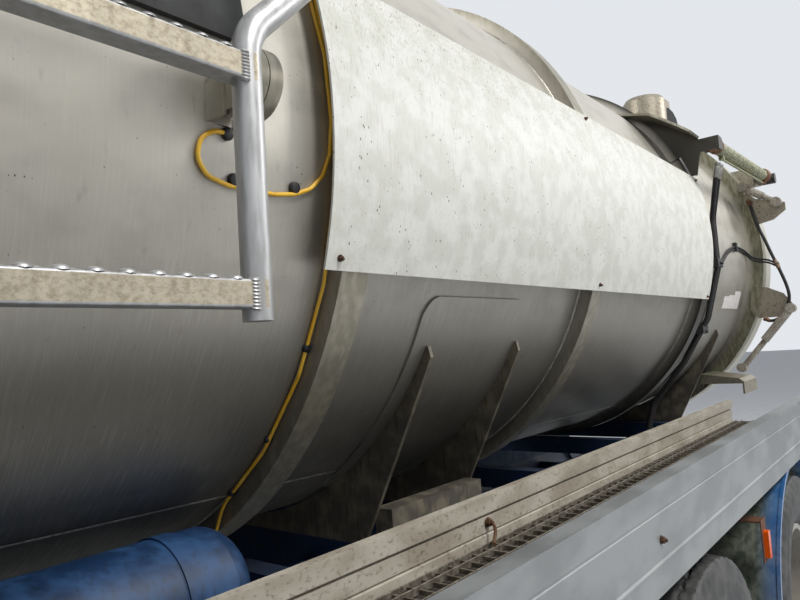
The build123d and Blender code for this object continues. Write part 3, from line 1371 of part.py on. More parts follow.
wheel_centre = Vector(3990, 520, 1560) + Vector(-0.62, 0, 0.78).normalized() * 262
wheel_plane_tilted = Plane(origin=wheel_centre, x_dir=(0, 1, 0), z_dir=(-0.62, 0, 0.78))
with BuildPart() as steering_wheel:
    with BuildSketch(Plane(origin=wheel_centre, x_dir=wheel_plane_tilted.z_dir, z_dir=(0, 1, 0))):
        with Locations((0, 215), (0, -215)):
            Circle(15)
    revolve(axis=Axis(wheel_centre, wheel_plane_tilted.z_dir), revolution_arc=180)
    with BuildSketch(wheel_plane_tilted.offset(-26)):
        Circle(70)
    extrude(amount=34)
    with BuildSketch(wheel_plane_tilted.offset(-8)):
        Rectangle(420, 30)
        with Locations((0, 0)):
            Rectangle(30, 420)
    extrude(amount=14)
    with BuildSketch(wheel_plane_tilted.offset(-30)):
        Circle(12 + seat_gap)
    extrude(amount=26, mode=Mode.SUBTRACT)
save(steering_wheel, "steering_wheel")

# Locks of the rear door: oil cylinders round the flange, above and below, on each side.
# Ends of each lock's body and rod across the truck
locks = (((975, 2660), (1080, 2587), (1150, 2538)), ((1165, 1892), (1010, 1707), (868, 1548)))
lock_x = lock_plane_x + lock_thickness + 34
with BuildPart() as door_locks:
    for side in (1, -1):
        for start, middle, end in locks:
            first = Vector(lock_x, side * start[0], start[1])
            second = Vector(lock_x, side * middle[0], middle[1])
            third = Vector(lock_x, side * end[0], end[1])
            along = (third - first).normalized()
            with BuildSketch(Plane(origin=first, x_dir=(1, 0, 0), z_dir=along)):
                Circle(24)
            extrude(amount=(second - first).length)
            with BuildSketch(Plane(origin=second, x_dir=(1, 0, 0), z_dir=along)):
                Circle(17)
            extrude(amount=(third - second).length)
            for point in (first, third):
                with BuildSketch(across(lock_plane_x + lock_thickness + seat_gap)):
                    with Locations((point.Y, point.Z)):
                        Circle(28)
                extrude(amount=60)
save(door_locks, "door_locks")

# Rubber mat on the barrel behind the ladder.
mat_thickness = 12
with BuildPart() as ladder_mat:
    with BuildSketch(across(262)):
        with BuildLine():
            inner_line = CenterArc((0, tank_z), tank_radius + seat_gap, 5, 53)
            outer_line = CenterArc((0, tank_z), tank_radius + seat_gap + mat_thickness, 5, 53)
            Line(inner_line @ 0, outer_line @ 0)
            Line(inner_line @ 1, outer_line @ 1)
        make_face()
    extrude(amount=880)
save(ladder_mat, "ladder_mat")


def round_barrel(x, angle_deg, radius):
    """A point at an angle above the left side, at a distance from the barrel's axis."""
    return (x, radius * cos(radians(angle_deg)), tank_z + radius * sin(radians(angle_deg)))


# Yellow cable, clipped to the barrel: a loop from the nozzle, and a run down the first ring.
cable_radius = 4
cable_turn = 12
cable_centre = tank_radius + cable_radius + seat_gap
cable_corner = cable_centre / cos(radians(cable_turn / 2)) + 0.3
# Along the truck and above the left side, from the can round the loop and up the ring
loop_points = ((281, -3.2), (281, -5.2), (332, -5.1), (360, -6.15), (366, -8.2), (345, -9.75), (300, -10.35),
               (200, -10.4), (150, -9.95), (112, -9), (82, -7.2), (64, -4.4))
with BuildPart() as yellow_cable:
    loop = [round_barrel(x, angle, cable_centre + 0.7) for x, angle in loop_points]
    loop += [round_barrel(61, angle, cable_corner) for angle in (-0.5, 8, 20, 32)]
    run = [round_barrel(51, angle, cable_corner) for angle in (40, 28, 16, 4, -8, -20, -32, -44, -56)]
    run += [(60, 490, 1340), (64, 452, 1196)]
    for route, bend in ((loop, 30), (run, 90)):
        with BuildLine() as cable_line:
            FilletPolyline(*route, radius=bend)
        with BuildSketch(Plane(origin=cable_line.line @ 0, z_dir=cable_line.line % 0)):
            Circle(cable_radius)
        sweep(path=cable_line.line)
save(yellow_cable, "yellow_cable")

# Oil hoses: two behind the last ring, from the ram down to the subframe, on each side.
hose_radius = 12
hose_turn = 16
hose_centre = tank_radius + hose_radius + seat_gap
hose_corner = hose_centre / cos(radians(hose_turn / 2)) + 0.3
with BuildPart() as hydraulic_hoses:
    for side in (1, -1):
        for hose_x, top_x in ((-2806, -2650), (-2838, -2700)):
            route = [(top_x, 1052, 2628), (top_x, 1036, 2560)]
            route += [round_barrel(hose_x, angle, hose_corner) for angle in (8, -8, -24, -40)]
            route += [(hose_x, 560, 1400), (hose_x, 520, 1268)]
            route = [(x, side * y, z) for x, y, z in route]
            with BuildLine() as hose_line:
                FilletPolyline(*route, radius=70)
            with BuildSketch(Plane(origin=hose_line.line @ 0, z_dir=hose_line.line % 0)):
                Circle(hose_radius)
            sweep(path=hose_line.line)
save(hydraulic_hoses, "hydraulic_hoses")

# Battery box and silencer, hung on the right rail.
with BuildPart() as battery_box:
    with BuildSketch(across(300)):
        with Locations((-860, 640)):
            RectangleRounded(560, 380, 25)
    extrude(amount=640)
    with BuildSketch(across(380), across(800)):
        with Locations((-(580 + rail_outer_y + seat_gap) / 2, 790)):
            Rectangle(580 - rail_outer_y - seat_gap, 60)
    extrude(amount=50)
save(battery_box, "battery_box")

with BuildPart() as silencer:
    with BuildSketch(Plane.XY.offset(420)):
        with Locations((2020, -800)):
            RectangleRounded(420, 560, 120)
    extrude(amount=430)
    with BuildSketch(across(1960)):
        with Locations((-(560 + rail_outer_y + seat_gap) / 2, 810)):
            Rectangle(560 - rail_outer_y - seat_gap, 70)
    extrude(amount=90)
save(silencer, "silencer")
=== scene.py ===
import bpy
import numpy as np
from mathutils import Matrix, Vector


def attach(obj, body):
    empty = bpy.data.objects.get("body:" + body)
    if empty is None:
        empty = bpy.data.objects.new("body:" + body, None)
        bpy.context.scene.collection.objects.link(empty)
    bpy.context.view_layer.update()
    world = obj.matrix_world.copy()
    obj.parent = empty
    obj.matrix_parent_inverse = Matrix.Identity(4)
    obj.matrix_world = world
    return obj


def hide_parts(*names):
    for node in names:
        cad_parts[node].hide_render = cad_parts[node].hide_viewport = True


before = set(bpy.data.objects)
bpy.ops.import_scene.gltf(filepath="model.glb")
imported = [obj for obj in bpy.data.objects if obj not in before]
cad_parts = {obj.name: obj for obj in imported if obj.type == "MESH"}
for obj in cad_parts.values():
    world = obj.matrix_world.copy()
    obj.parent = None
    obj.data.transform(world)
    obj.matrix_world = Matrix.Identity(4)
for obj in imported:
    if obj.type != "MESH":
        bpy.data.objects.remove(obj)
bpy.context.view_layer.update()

# Camera: beside the left rear of the cab at eye height, looking back along the barrel.
# The three directions and the focal length were fitted to the barrel's rings and trays.
camera_place = Vector((1.000, 1.858, 1.776))
camera_look = Vector((-0.7773, -0.6242, 0.0786)).normalized()
camera_up = Vector((0.0203, 0.1001, 0.9948))
camera_right = camera_look.cross(camera_up).normalized()
camera_up = camera_right.cross(camera_look).normalized()
camera = bpy.data.objects.new("camera", bpy.data.cameras.new("camera"))
camera.data.sensor_width = 36.0
camera.data.lens = 30.15
camera.data.clip_start = 0.05
camera_matrix = Matrix((camera_right, camera_up, -camera_look)).transposed().to_4x4()
camera_matrix.translation = camera_place
camera.matrix_world = camera_matrix
bpy.context.collection.objects.link(camera)
bpy.context.scene.camera = camera
bpy.context.scene.view_settings.view_transform = "Standard"


# Floor: a wide pale sheet of painted concrete, slightly mottled.
# It is part of the stage, not of the truck.
def colour(hexcode):
    """Linear RGBA of an sRGB hex colour: each channel through the sRGB decoding curve."""
    channels = np.array([int(hexcode[i:i + 2], 16) for i in (1, 3, 5)]) / 255.0
    linear = np.where(channels <= 0.04045, channels / 12.92, ((channels + 0.055) / 1.055) ** 2.4)
    return (*linear.tolist(), 1.0)


def set_inputs(tree, node, inputs):
    """Inputs of a node, each linked to a socket or given a value."""
    for key, value in inputs.items():
        if isinstance(value, bpy.types.NodeSocket):
            tree.links.new(value, node.inputs[key])
        else:
            node.inputs[key].default_value = value


def add_node(tree, kind, inputs=None, output=0, **settings):
    """One shader node: its settings, its sockets linked or given values, one output returned."""
    node = tree.nodes.new(kind)
    for key, value in settings.items():
        setattr(node, key, value)
    set_inputs(tree, node, inputs or {})
    return node.outputs[output]


def new_material(name):
    """An empty node material with its output and Principled shader joined."""
    material = bpy.data.materials.new(name)
    material.use_nodes = True
    tree = material.node_tree
    tree.nodes.clear()
    shader = tree.nodes.new("ShaderNodeBsdfPrincipled")
    output = tree.nodes.new("ShaderNodeOutputMaterial")
    tree.links.new(shader.outputs["BSDF"], output.inputs["Surface"])
    return material, tree, shader


def pattern(tree, size_mm, stretch=(1.0, 1.0, 1.0), kind="ShaderNodeTexNoise", **values):
    """A texture on Object coordinates, its features size_mm across and stretched per axis."""
    place = add_node(tree, "ShaderNodeTexCoord", output="Object")
    scale = [1000.0 / size_mm / factor for factor in stretch]
    placed = add_node(tree, "ShaderNodeMapping", {"Vector": place, "Scale": scale})
    return add_node(tree, kind, {"Vector": placed, **values})


def layer(tree, under, over, mask, low, high, share=1.0):
    """A colour laid over another where a mask runs from low to high, at most by its share."""
    amount = add_node(tree, "ShaderNodeMapRange",
                      {"Value": mask, "From Min": low, "From Max": high, "To Max": share},
                      interpolation_type="SMOOTHSTEP")
    return add_node(tree, "ShaderNodeMix", {0: amount, 6: under, 7: over}, 2, data_type="RGBA")


def mesh_object(name, points, faces, material, sharp_deg=35.0):
    """A mesh piece from arrays of points and faces, smooth but for its sharp edges."""
    mesh = bpy.data.meshes.new(name)
    mesh.from_pydata(np.asarray(points, dtype=float).reshape(-1, 3).tolist(), [],
                     [list(map(int, face)) for face in faces])
    mesh.materials.append(material)
    mesh.polygons.foreach_set("use_smooth", [True] * len(mesh.polygons))
    mesh.set_sharp_from_angle(angle=np.radians(sharp_deg))
    mesh.update()
    piece = bpy.data.objects.new(name, mesh)
    bpy.context.collection.objects.link(piece)
    return piece


floor_paint, tree, shader = new_material("painted_concrete")
mottle = pattern(tree, 900.0, Detail=5.0)
shown = layer(tree, colour("#d4d5d6"), colour("#dcdddd"), mottle, 0.35, 0.65)
set_inputs(tree, shader, {"Base Color": shown, "Roughness": 0.8})
reach = 60.0
floor_corners = [(-reach, -reach, 0), (reach, -reach, 0), (reach, reach, 0), (-reach, reach, 0)]
floor = mesh_object("floor", floor_corners, [[0, 1, 2, 3]], floor_paint)

# Studio: a soft key over the left side, a weaker one from behind, a wide fill and a pale room.
# The room is near white to the camera, to reflections and through glass, and softer as a light.
world = bpy.data.worlds.new("pale_room")
bpy.context.scene.world = world
world.use_nodes = True
room = world.node_tree
room.nodes.clear()
path = room.nodes.new("ShaderNodeLightPath")
seen = path.outputs["Is Camera Ray"]
for ray in ("Is Transmission Ray", "Is Glossy Ray"):
    seen = add_node(room, "ShaderNodeMath", {0: seen, 1: path.outputs[ray]}, operation="MAXIMUM")
light = add_node(room, "ShaderNodeBackground", {"Color": (0.87, 0.92, 1.0, 1.0), "Strength": 0.36})
backdrop = add_node(room, "ShaderNodeBackground",
                    {"Color": (0.84, 0.87, 0.91, 1.0), "Strength": 0.92})
both = add_node(room, "ShaderNodeMixShader", {0: seen, 1: light, 2: backdrop})
room.links.new(both, room.nodes.new("ShaderNodeOutputWorld").inputs["Surface"])
for lamp_name, place, target, size, watts in (
    ("key", (-0.5, 8.0, 10.5), (-1.5, 0.6, 2.0), 2.6, 1150.0),
    ("rear_key", (-8.5, 6.5, 6.0), (-2.5, 0.5, 2.0), 3.0, 260.0),
    ("fill", (9.0, -7.0, 7.0), (0.5, 0.0, 1.8), 6.0, 560.0),
):
    lamp = bpy.data.objects.new(lamp_name, bpy.data.lights.new(lamp_name, "AREA"))
    lamp.data.shape = "DISK"
    lamp.data.size = size
    lamp.data.energy = watts
    lamp.location = place
    lamp.rotation_euler = (Vector(target) - Vector(place)).to_track_quat("-Z", "Y").to_euler()
    bpy.context.collection.objects.link(lamp)


# Chassis: rolled steel channels, sprayed dark blue over primer, with road dust and grease.
# Axles and knuckles are forged and cast steel under black paint, rusty where stones chip it.
def object_axes(tree):
    """The three Object coordinates of the shaded point, by name."""
    place = add_node(tree, "ShaderNodeTexCoord", output="Object")
    return add_node(tree, "ShaderNodeSeparateXYZ", {0: place}).node.outputs


def worn_coat(name, base, faded, grime, metallic=0.0, roughness=0.45, cloud_mm=320.0,
              dust=0.45, rust=0.0, run_share=0.45, rust_mm=60.0):
    """Worn surface: faded clouds, grime runs, dust thicker low down, rust blooms, fine grain."""
    material, tree, shader = new_material(name)
    cloud = pattern(tree, cloud_mm, Detail=6.0)
    runs = pattern(tree, 55.0, (1.0, 1.0, 7.0), Detail=6.0)
    grain = pattern(tree, 7.0, Detail=4.0)
    bloom = pattern(tree, rust_mm, Detail=8.0, Roughness=0.7)
    ragged = add_node(tree, "ShaderNodeMath", {0: cloud, 1: -1.3, 2: object_axes(tree)["Z"]},
                      operation="MULTIPLY_ADD")
    shown = layer(tree, colour(base), colour(faded), cloud, 0.42, 0.66)
    shown = layer(tree, shown, colour(grime), runs, 0.50, 0.72, run_share)
    shown = layer(tree, shown, colour("#857b6b"), ragged, 0.75, -0.45, dust)
    shown = layer(tree, shown, colour("#6b3a1f"), bloom, 0.66 - 0.16 * rust, 0.74 - 0.16 * rust,
                  min(1.0, 2.0 * rust))
    dull = add_node(tree, "ShaderNodeMapRange",
                    {"Value": cloud, "From Min": 0.35, "From Max": 0.65,
                     "To Min": roughness - 0.07, "To Max": roughness + 0.13})
    relief = add_node(tree, "ShaderNodeBump",
                      {"Height": grain, "Strength": 0.25, "Distance": 0.0006}, "Normal")
    set_inputs(tree, shader, {"Base Color": shown, "Metallic": metallic, "Roughness": dull,
                              "Normal": relief})
    return material


def dress(material, *nodes):
    """Gives CAD nodes their finish in every slot."""
    for name in nodes:
        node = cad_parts[name]
        if not node.material_slots:
            node.data.materials.append(material)
        for slot in node.material_slots:
            slot.material = material


chassis_paint = worn_coat("blue_chassis_paint", "#142640", "#1f3c5c", "#101215", dust=0.25,
                          rust=0.15)
axle_paint = worn_coat("black_axle_paint", "#1b1b1b", "#33312e", "#0e0d0c", roughness=0.6,
                       rust=0.55)
engine_iron = worn_coat("oily_cast_iron", "#2f2e2c", "#45413b", "#15120f", roughness=0.55, rust=0.3)
battery_cover = worn_coat("grey_moulded_cover", "#3b3c3d", "#4c4c4b", "#1f1e1c", roughness=0.6)
silencer_steel = worn_coat("heat_stained_steel", "#6d6760", "#8a8379", "#352a22", metallic=0.8,
                           rust=0.5)
air_tank_paint = worn_coat("blue_air_tank_paint", "#142d4c", "#1f4269", "#0d1319", dust=0.12,
                           rust=0.1)
fuel_tank_metal = worn_coat("fuel_tank_aluminium", "#a7aaac", "#bcbfc0", "#5d5a55", metallic=0.85,
                            roughness=0.38, dust=0.5)
dress(chassis_paint, "chassis_frame")
dress(air_tank_paint, "air_tanks")
dress(axle_paint, "axles", "knuckle_left", "knuckle_right", "tie_rod")
dress(engine_iron, "engine")
dress(battery_cover, "battery_box")
dress(silencer_steel, "silencer")
dress(fuel_tank_metal, "fuel_tank")


# Wheels: 22.5 inch steel rims sprayed grey, ten studs in a circle, and a capped hub.
# The wheel nuts are zinc plated, on washers, and rusty round the threads.
def swing(centre, axis, heights, radii, sides):
    """Turned grid: each (height, radius) of a profile swung round an axis from a centre."""
    axis = np.asarray(axis, dtype=float) / np.linalg.norm(axis)
    across = np.cross(axis, (0.0, 0.0, 1.0) if abs(axis[2]) < 0.9 else (1.0, 0.0, 0.0))
    across /= np.linalg.norm(across)
    onward = np.cross(axis, across)
    angle = np.arange(sides) * 2 * np.pi / sides
    heights = np.broadcast_to(np.reshape(heights, (len(heights), -1)), (len(heights), sides))
    radii = np.broadcast_to(np.reshape(radii, (len(heights), -1)), (len(heights), sides))
    round_axis = np.cos(angle)[:, None] * across + np.sin(angle)[:, None] * onward
    return np.asarray(centre) + heights[..., None] * axis + radii[..., None] * round_axis


def grid_faces(rows, columns, close_rows=False, close_columns=True, caps=False):
    """Quads of a grid whose rows go along an axis and columns turn round it, facing outwards."""
    r, c = np.meshgrid(np.arange(rows if close_rows else rows - 1),
                       np.arange(columns if close_columns else columns - 1), indexing="ij")
    r2, c2 = (r + 1) % rows, (c + 1) % columns
    quads = [r * columns + c, r * columns + c2, r2 * columns + c2, r2 * columns + c]
    faces = np.stack(quads, axis=-1).reshape(-1, 4).tolist()
    if caps:
        faces.append(list(range(columns))[::-1])
        faces.append(list(range((rows - 1) * columns, rows * columns)))
    return faces


def joined(name, parts, material, sharp_deg=35.0):
    """One mesh piece from several (points, faces) parts."""
    points, faces, start = [], [], 0
    for part_points, part_faces in parts:
        part_points = np.asarray(part_points, dtype=float).reshape(-1, 3)
        points.append(part_points)
        faces.extend([[index + start for index in face] for face in part_faces])
        start += len(part_points)
    return mesh_object(name, np.concatenate(points), faces, material, sharp_deg)


def turned(centres, axis, profile, sides):
    """Like turned pieces at several centres: a profile of (height, radius) with flat ends."""
    heights, radii = np.array(profile).T
    faces = grid_faces(len(profile), sides, caps=True)
    return [(swing(centre, axis, heights, radii, sides), faces) for centre in centres]


def bolt_parts(centres, axis, size):
    """Hexagon head on a round washer with a rounded thread end, size across the corners."""
    washer = [(0.0, size * 0.62), (size * 0.10, size * 0.62)]
    head = [(0.0, size * 0.5), (size * 0.50, size * 0.5), (size * 0.58, size * 0.42)]
    thread = [(0.0, size * 0.26), (size * 0.86, size * 0.26), (size * 0.93, size * 0.18)]
    return turned(centres, axis, washer, 14) + turned(centres, axis, head, 6) \
        + turned(centres, axis, thread, 10)


rim_paint = worn_coat("grey_rim_paint", "#8d8f8e", "#a3a49f", "#4a443b", roughness=0.5, dust=0.75,
                      rust=0.25)
nut_steel = worn_coat("zinc_plated_steel", "#8b8a85", "#a4a39c", "#4a3527", metallic=0.85,
                      roughness=0.4, rust=0.55, rust_mm=14.0)
both_sides = ((1, "left"), (-1, "right"))
wheel_radius = 0.530
# Along the truck, each axle's middle, and across it, the rim's face that its nuts press on.
axle_places = {"front": 2.950, "rear_1": -1.270, "rear_2": -2.720}
nut_seats = {"front": 1.178, "rear_1": 0.939, "rear_2": 0.939}
stud_count = 10
stud_angles = np.arange(stud_count) * 2 * np.pi / stud_count + 0.16
stud_circle = np.stack([np.cos(stud_angles), 0 * stud_angles, np.sin(stud_angles)], axis=-1)
stud_circle_radius, nut_size = 0.1675, 0.036
for side, side_name in both_sides:
    for place, axle_x in axle_places.items():
        hub = (axle_x, side * nut_seats[place], wheel_radius)
        centres = stud_circle_radius * stud_circle + hub
        parts = bolt_parts(centres, (0, side, 0), nut_size)
        nuts = joined(f"wheel_nuts_{place}_{side_name}", parts, nut_steel)
        if place == "front":
            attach(nuts, f"front_wheel_{side_name}")
            dress(rim_paint, f"front_rim_{side_name}")
        else:
            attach(nuts, f"rear_wheels_{place[-1]}_{side_name}")
            dress(rim_paint, f"rear_rims_{place[-1]}_{side_name}")

# Tyres: moulded rubber with a cap of four zigzag grooves, shoulder notches and ribbed side walls.
# Road dust greys the rubber in clouds, and fine scuffs mark it.
tyre_rubber, tree, shader = new_material("tyre_rubber")
dust_cloud = pattern(tree, 260.0, Detail=4.0)
scuffs = pattern(tree, 18.0, Detail=5.0)
shown = layer(tree, colour("#2b2b2b"), colour("#4b4a47"), dust_cloud, 0.36, 0.66, 0.75)
shown = layer(tree, shown, colour("#66635d"), scuffs, 0.56, 0.80, 0.20)
relief = add_node(tree, "ShaderNodeBump", {"Height": scuffs, "Strength": 0.3, "Distance": 0.0008},
                  "Normal")
set_inputs(tree, shader, {"Base Color": shown, "Roughness": 0.62, "Specular IOR Level": 0.5,
                          "Normal": relief})
wall_profile = np.array([(0.098, 0.3005), (0.112, 0.3045), (0.121, 0.318), (0.1255, 0.330),
                         (0.1285, 0.333), (0.1345, 0.352), (0.1415, 0.380), (0.1460, 0.408),
                         (0.1470, 0.432), (0.1462, 0.446), (0.1472, 0.452), (0.1455, 0.458),
                         (0.1425, 0.478), (0.1385, 0.496), (0.1340, 0.508), (0.1310, 0.518)])
liner = np.array([(-0.070, 0.3010), (0.0, 0.3010), (0.070, 0.3010)])
cap_edge = 0.126
cap_heights = np.linspace(cap_edge, -cap_edge, 33)
cap = np.stack([cap_heights, 0.5296 - 0.0045 * (cap_heights / cap_edge) ** 2], axis=-1)
tyre_profile = np.concatenate([wall_profile, cap, wall_profile[::-1] * (-1, 1), liner])[::-1]
tyre_heights, tyre_radii = tyre_profile.T
around = 216
turn = np.arange(around) * 2 * np.pi / around
height_grid, turn_grid = np.meshgrid(tyre_heights, turn, indexing="ij")
radius_grid = np.broadcast_to(tyre_radii[:, None], height_grid.shape)
groove_depth, groove_half_width, notch_depth = 0.012, 0.0052, 0.007
zigzag_step, zigzag_waves, notch_every = 0.0035, 54, 4
zigzag = zigzag_step * np.sign(np.sin(turn_grid * zigzag_waves))
grooves = np.zeros_like(height_grid, dtype=bool)
for groove_y in (-0.084, -0.030, 0.030, 0.084):
    grooves |= np.abs(height_grid - groove_y - zigzag) < groove_half_width
grooves &= (np.abs(height_grid) < 0.127) & (radius_grid > 0.50)
notches = (np.abs(height_grid) > 0.098) & (radius_grid > 0.505)
notches &= np.arange(around) % notch_every == 0
tread_radii = radius_grid - groove_depth * grooves - notch_depth * notches
tyre_faces = grid_faces(len(tyre_heights), around, close_rows=True)
front_middles, twin_middles = (1.020,), (0.762, 1.092)
for side, side_name in both_sides:
    for body, node, place, middles in (
        (f"front_wheel_{side_name}", f"front_tyre_{side_name}", "front", front_middles),
        (f"rear_wheels_1_{side_name}", f"rear_tyres_1_{side_name}", "rear_1", twin_middles),
        (f"rear_wheels_2_{side_name}", f"rear_tyres_2_{side_name}", "rear_2", twin_middles),
    ):
        parts = [(swing((axle_places[place], side * middle, wheel_radius), (0, 1, 0), tyre_heights,
                        tread_radii, around), tyre_faces) for middle in middles]
        tyre = joined(f"treaded_{node}", parts, tyre_rubber, sharp_deg=50.0)
        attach(tyre, body)
        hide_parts(node)

# Barrel: rolled and welded stainless sheet, brushed round the drum and dulled by weather.
# Rainwater leaves grey runs, and tar and sludge leave black specks in patches.
def speck_mask(tree, cell_mm, gate, low, high, size):
    """Where specks lie: one to a cell, growing up to a size as a gate runs from low to high."""
    cells = pattern(tree, cell_mm, (1.0, 1.0, 1.7), "ShaderNodeTexVoronoi", Randomness=1.0)
    speck_size = add_node(tree, "ShaderNodeMapRange",
                          {"Value": gate, "From Min": low, "From Max": high, "To Max": size})
    return add_node(tree, "ShaderNodeMath", {0: cells, 1: speck_size}, operation="LESS_THAN")


barrel_axis_z = 2.250
barrel_radius = 0.950
ring_fronts = (1.290, 0.043, -1.180, -2.520)
ring_width = 0.079
barrel_steel, tree, shader = new_material("weathered_stainless_steel_with_painted_shade")
brush = pattern(tree, 3.0, (1.0, 90.0, 90.0), Detail=3.0)
bands = pattern(tree, 16.0, (1.0, 22.0, 22.0), Detail=4.0)
cloud = pattern(tree, 420.0, (1.6, 1.0, 1.0), Detail=6.0)
stains = pattern(tree, 90.0, (1.0, 1.0, 3.5), Detail=7.0)
along = object_axes(tree)["X"]
# Painted reflection and shade: darker towards the bottom, standing for the dark chassis below.
shown = layer(tree, colour("#5a5853"), colour("#bdb8ac"), object_axes(tree)["Z"], 1.30, 2.35)
shown = layer(tree, shown, colour("#cbc8c0"), bands, 0.45, 0.75, 0.16)
shown = layer(tree, shown, colour("#8b8880"), cloud, 0.45, 0.72, 0.35)
shown = layer(tree, shown, colour("#5a554c"), stains, 0.60, 0.82, 0.30)
# The four stiffening rings hold dirt, which turns their faces and rims a dull cream.
centred = add_node(tree, "ShaderNodeVectorMath",
                   {0: add_node(tree, "ShaderNodeTexCoord", output="Object"),
                    1: (0.0, 0.0, -barrel_axis_z)}, operation="ADD")
centred = add_node(tree, "ShaderNodeVectorMath", {0: centred, 1: (0.0, 1.0, 1.0)},
                   operation="MULTIPLY")
radius = add_node(tree, "ShaderNodeVectorMath", {0: centred}, "Value", operation="LENGTH")
on_ring = add_node(tree, "ShaderNodeMapRange",
                   {"Value": radius, "From Min": 0.955, "From Max": 0.990})
ring_dirt_and_shade = layer(tree, colour("#8a8576"), colour("#a09a8b"), stains, 0.35, 0.70)
# The last ring is nearly black, a painted shade; the door's ring is pale, the lugs pale and rusty.
behind_last = add_node(tree, "ShaderNodeMath", {0: along, 1: -2.505}, operation="LESS_THAN")
ring_dirt_and_shade = layer(tree, ring_dirt_and_shade, colour("#3f3c36"), behind_last, 0.0, 1.0)
flange_dirt = layer(tree, colour("#8b8a76"), colour("#716d58"), stains, 0.38, 0.62)
flange_dirt = layer(tree, flange_dirt, colour("#b9b6a8"), along, -3.690, -3.712)
on_lug = add_node(tree, "ShaderNodeMapRange",
                  {"Value": radius, "From Min": 1.038, "From Max": 1.060})
lug_rust = pattern(tree, 70.0, Detail=8.0, Roughness=0.7)
lug_dirt = layer(tree, colour("#9a9382"), colour("#5d3a24"), lug_rust, 0.52, 0.66, 0.9)
flange_dirt = add_node(tree, "ShaderNodeMix", {0: on_lug, 6: flange_dirt, 7: lug_dirt}, 2,
                       data_type="RGBA")
at_flange = add_node(tree, "ShaderNodeMath", {0: along, 1: -2.700}, operation="LESS_THAN")
ring_dirt_and_shade = layer(tree, ring_dirt_and_shade, flange_dirt, at_flange, 0.0, 1.0)
shown = add_node(tree, "ShaderNodeMix", {0: on_ring, 6: shown, 7: ring_dirt_and_shade}, 2, data_type="RGBA")
speck = speck_mask(tree, 42.0, pattern(tree, 240.0, Detail=3.0), 0.50, 0.70, 0.130)
shown = layer(tree, shown, colour("#24211d"), speck, 0.0, 1.0, 0.9)
dull = add_node(tree, "ShaderNodeMapRange",
                {"Value": bands, "From Min": 0.35, "From Max": 0.70,
                 "To Min": 0.46, "To Max": 0.40})
dull = add_node(tree, "ShaderNodeMath", {0: speck, 1: 0.3, 2: dull}, operation="MULTIPLY_ADD")
relief = add_node(tree, "ShaderNodeBump", {"Height": brush, "Strength": 0.12, "Distance": 0.0004},
                  "Normal")
set_inputs(tree, shader, {"Base Color": shown, "Metallic": 0.72, "Roughness": dull,
                          "Normal": relief})
dress(barrel_steel, "tank_barrel", "rear_door", "manhole_lid")


def strip_part(route, normals, width, height):
    """A low weld bead: an arched section of five points carried along a route on a surface."""
    route, normals = np.asarray(route, dtype=float), np.asarray(normals, dtype=float)
    run = np.gradient(route, axis=0)
    across = np.cross(run, normals)
    across /= np.linalg.norm(across, axis=1)[:, None]
    side_steps = np.array((-1.0, -0.6, 0.0, 0.6, 1.0))
    lift = np.array((-0.3, 0.75, 1.0, 0.75, -0.3))
    points = route[:, None] + side_steps[:, None] * across[:, None] * width / 2 \
        + lift[:, None] * normals[:, None] * height
    return points, grid_faces(len(route), 5, close_columns=False)


# Weld beads: one seam along the low side of each course, and a bead at both feet of each ring.
seam_steel = worn_coat("weld_bead_steel", "#8b877e", "#aaa69c", "#4b463d", metallic=0.7,
                       roughness=0.4, cloud_mm=60.0, dust=0.1)
seam_ends = ((1.205, 0.050), (-0.040, -1.175), (-1.265, -2.515), (-2.605, -3.615))
bead_offset = 0.0015
parts = []
for side in (1, -1):
    for front_x, rear_x in seam_ends:
        x = np.linspace(front_x, rear_x, 40)[::side]
        angle = np.radians(-53.8 + (x - 0.3) * 2.4)
        normal = np.stack([0 * x, side * np.cos(angle), np.sin(angle)], axis=-1)
        route = np.stack([x, 0 * x, 0 * x + barrel_axis_z], axis=-1) \
            + normal * (barrel_radius + 0.0002)
        parts.append(strip_part(route, normal, 0.007, 0.0016))
angle = np.linspace(0, 2 * np.pi, 240)
normal = np.stack([0 * angle, np.cos(angle), np.sin(angle)], axis=-1)
for ring_x in ring_fronts:
    for bead_x in (ring_x + bead_offset, ring_x - ring_width - bead_offset):
        route = np.array((bead_x, 0.0, barrel_axis_z)) + normal * (barrel_radius + 0.0008)
        parts.append(strip_part(route, normal, 0.009, 0.0030))
seams = joined("barrel_weld_beads", parts, seam_steel, sharp_deg=80.0)
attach(seams, "chassis")

# Saddles: plates of the same stainless, unpolished and stained brown by road spray.
# They are welded under the barrel, and stand on a subframe under blue paint.
saddle_steel = worn_coat("stained_saddle_plate", "#5f5950", "#77705f", "#2b2620", metallic=0.55,
                         roughness=0.5, cloud_mm=260.0, dust=0.5, rust=0.12)
tree = saddle_steel.node_tree
shader = tree.nodes["Principled BSDF"]
plate_dirt = shader.inputs["Base Color"].links[0].from_socket
smears = pattern(tree, 150.0, Detail=6.0)
subframe_blue = layer(tree, colour("#1a3252"), colour("#22324a"), smears, 0.4, 0.65)
shown = layer(tree, subframe_blue, plate_dirt, object_axes(tree)["Z"], 1.262, 1.268)
set_inputs(tree, shader, {"Base Color": shown})
dress(saddle_steel, "tank_saddles")

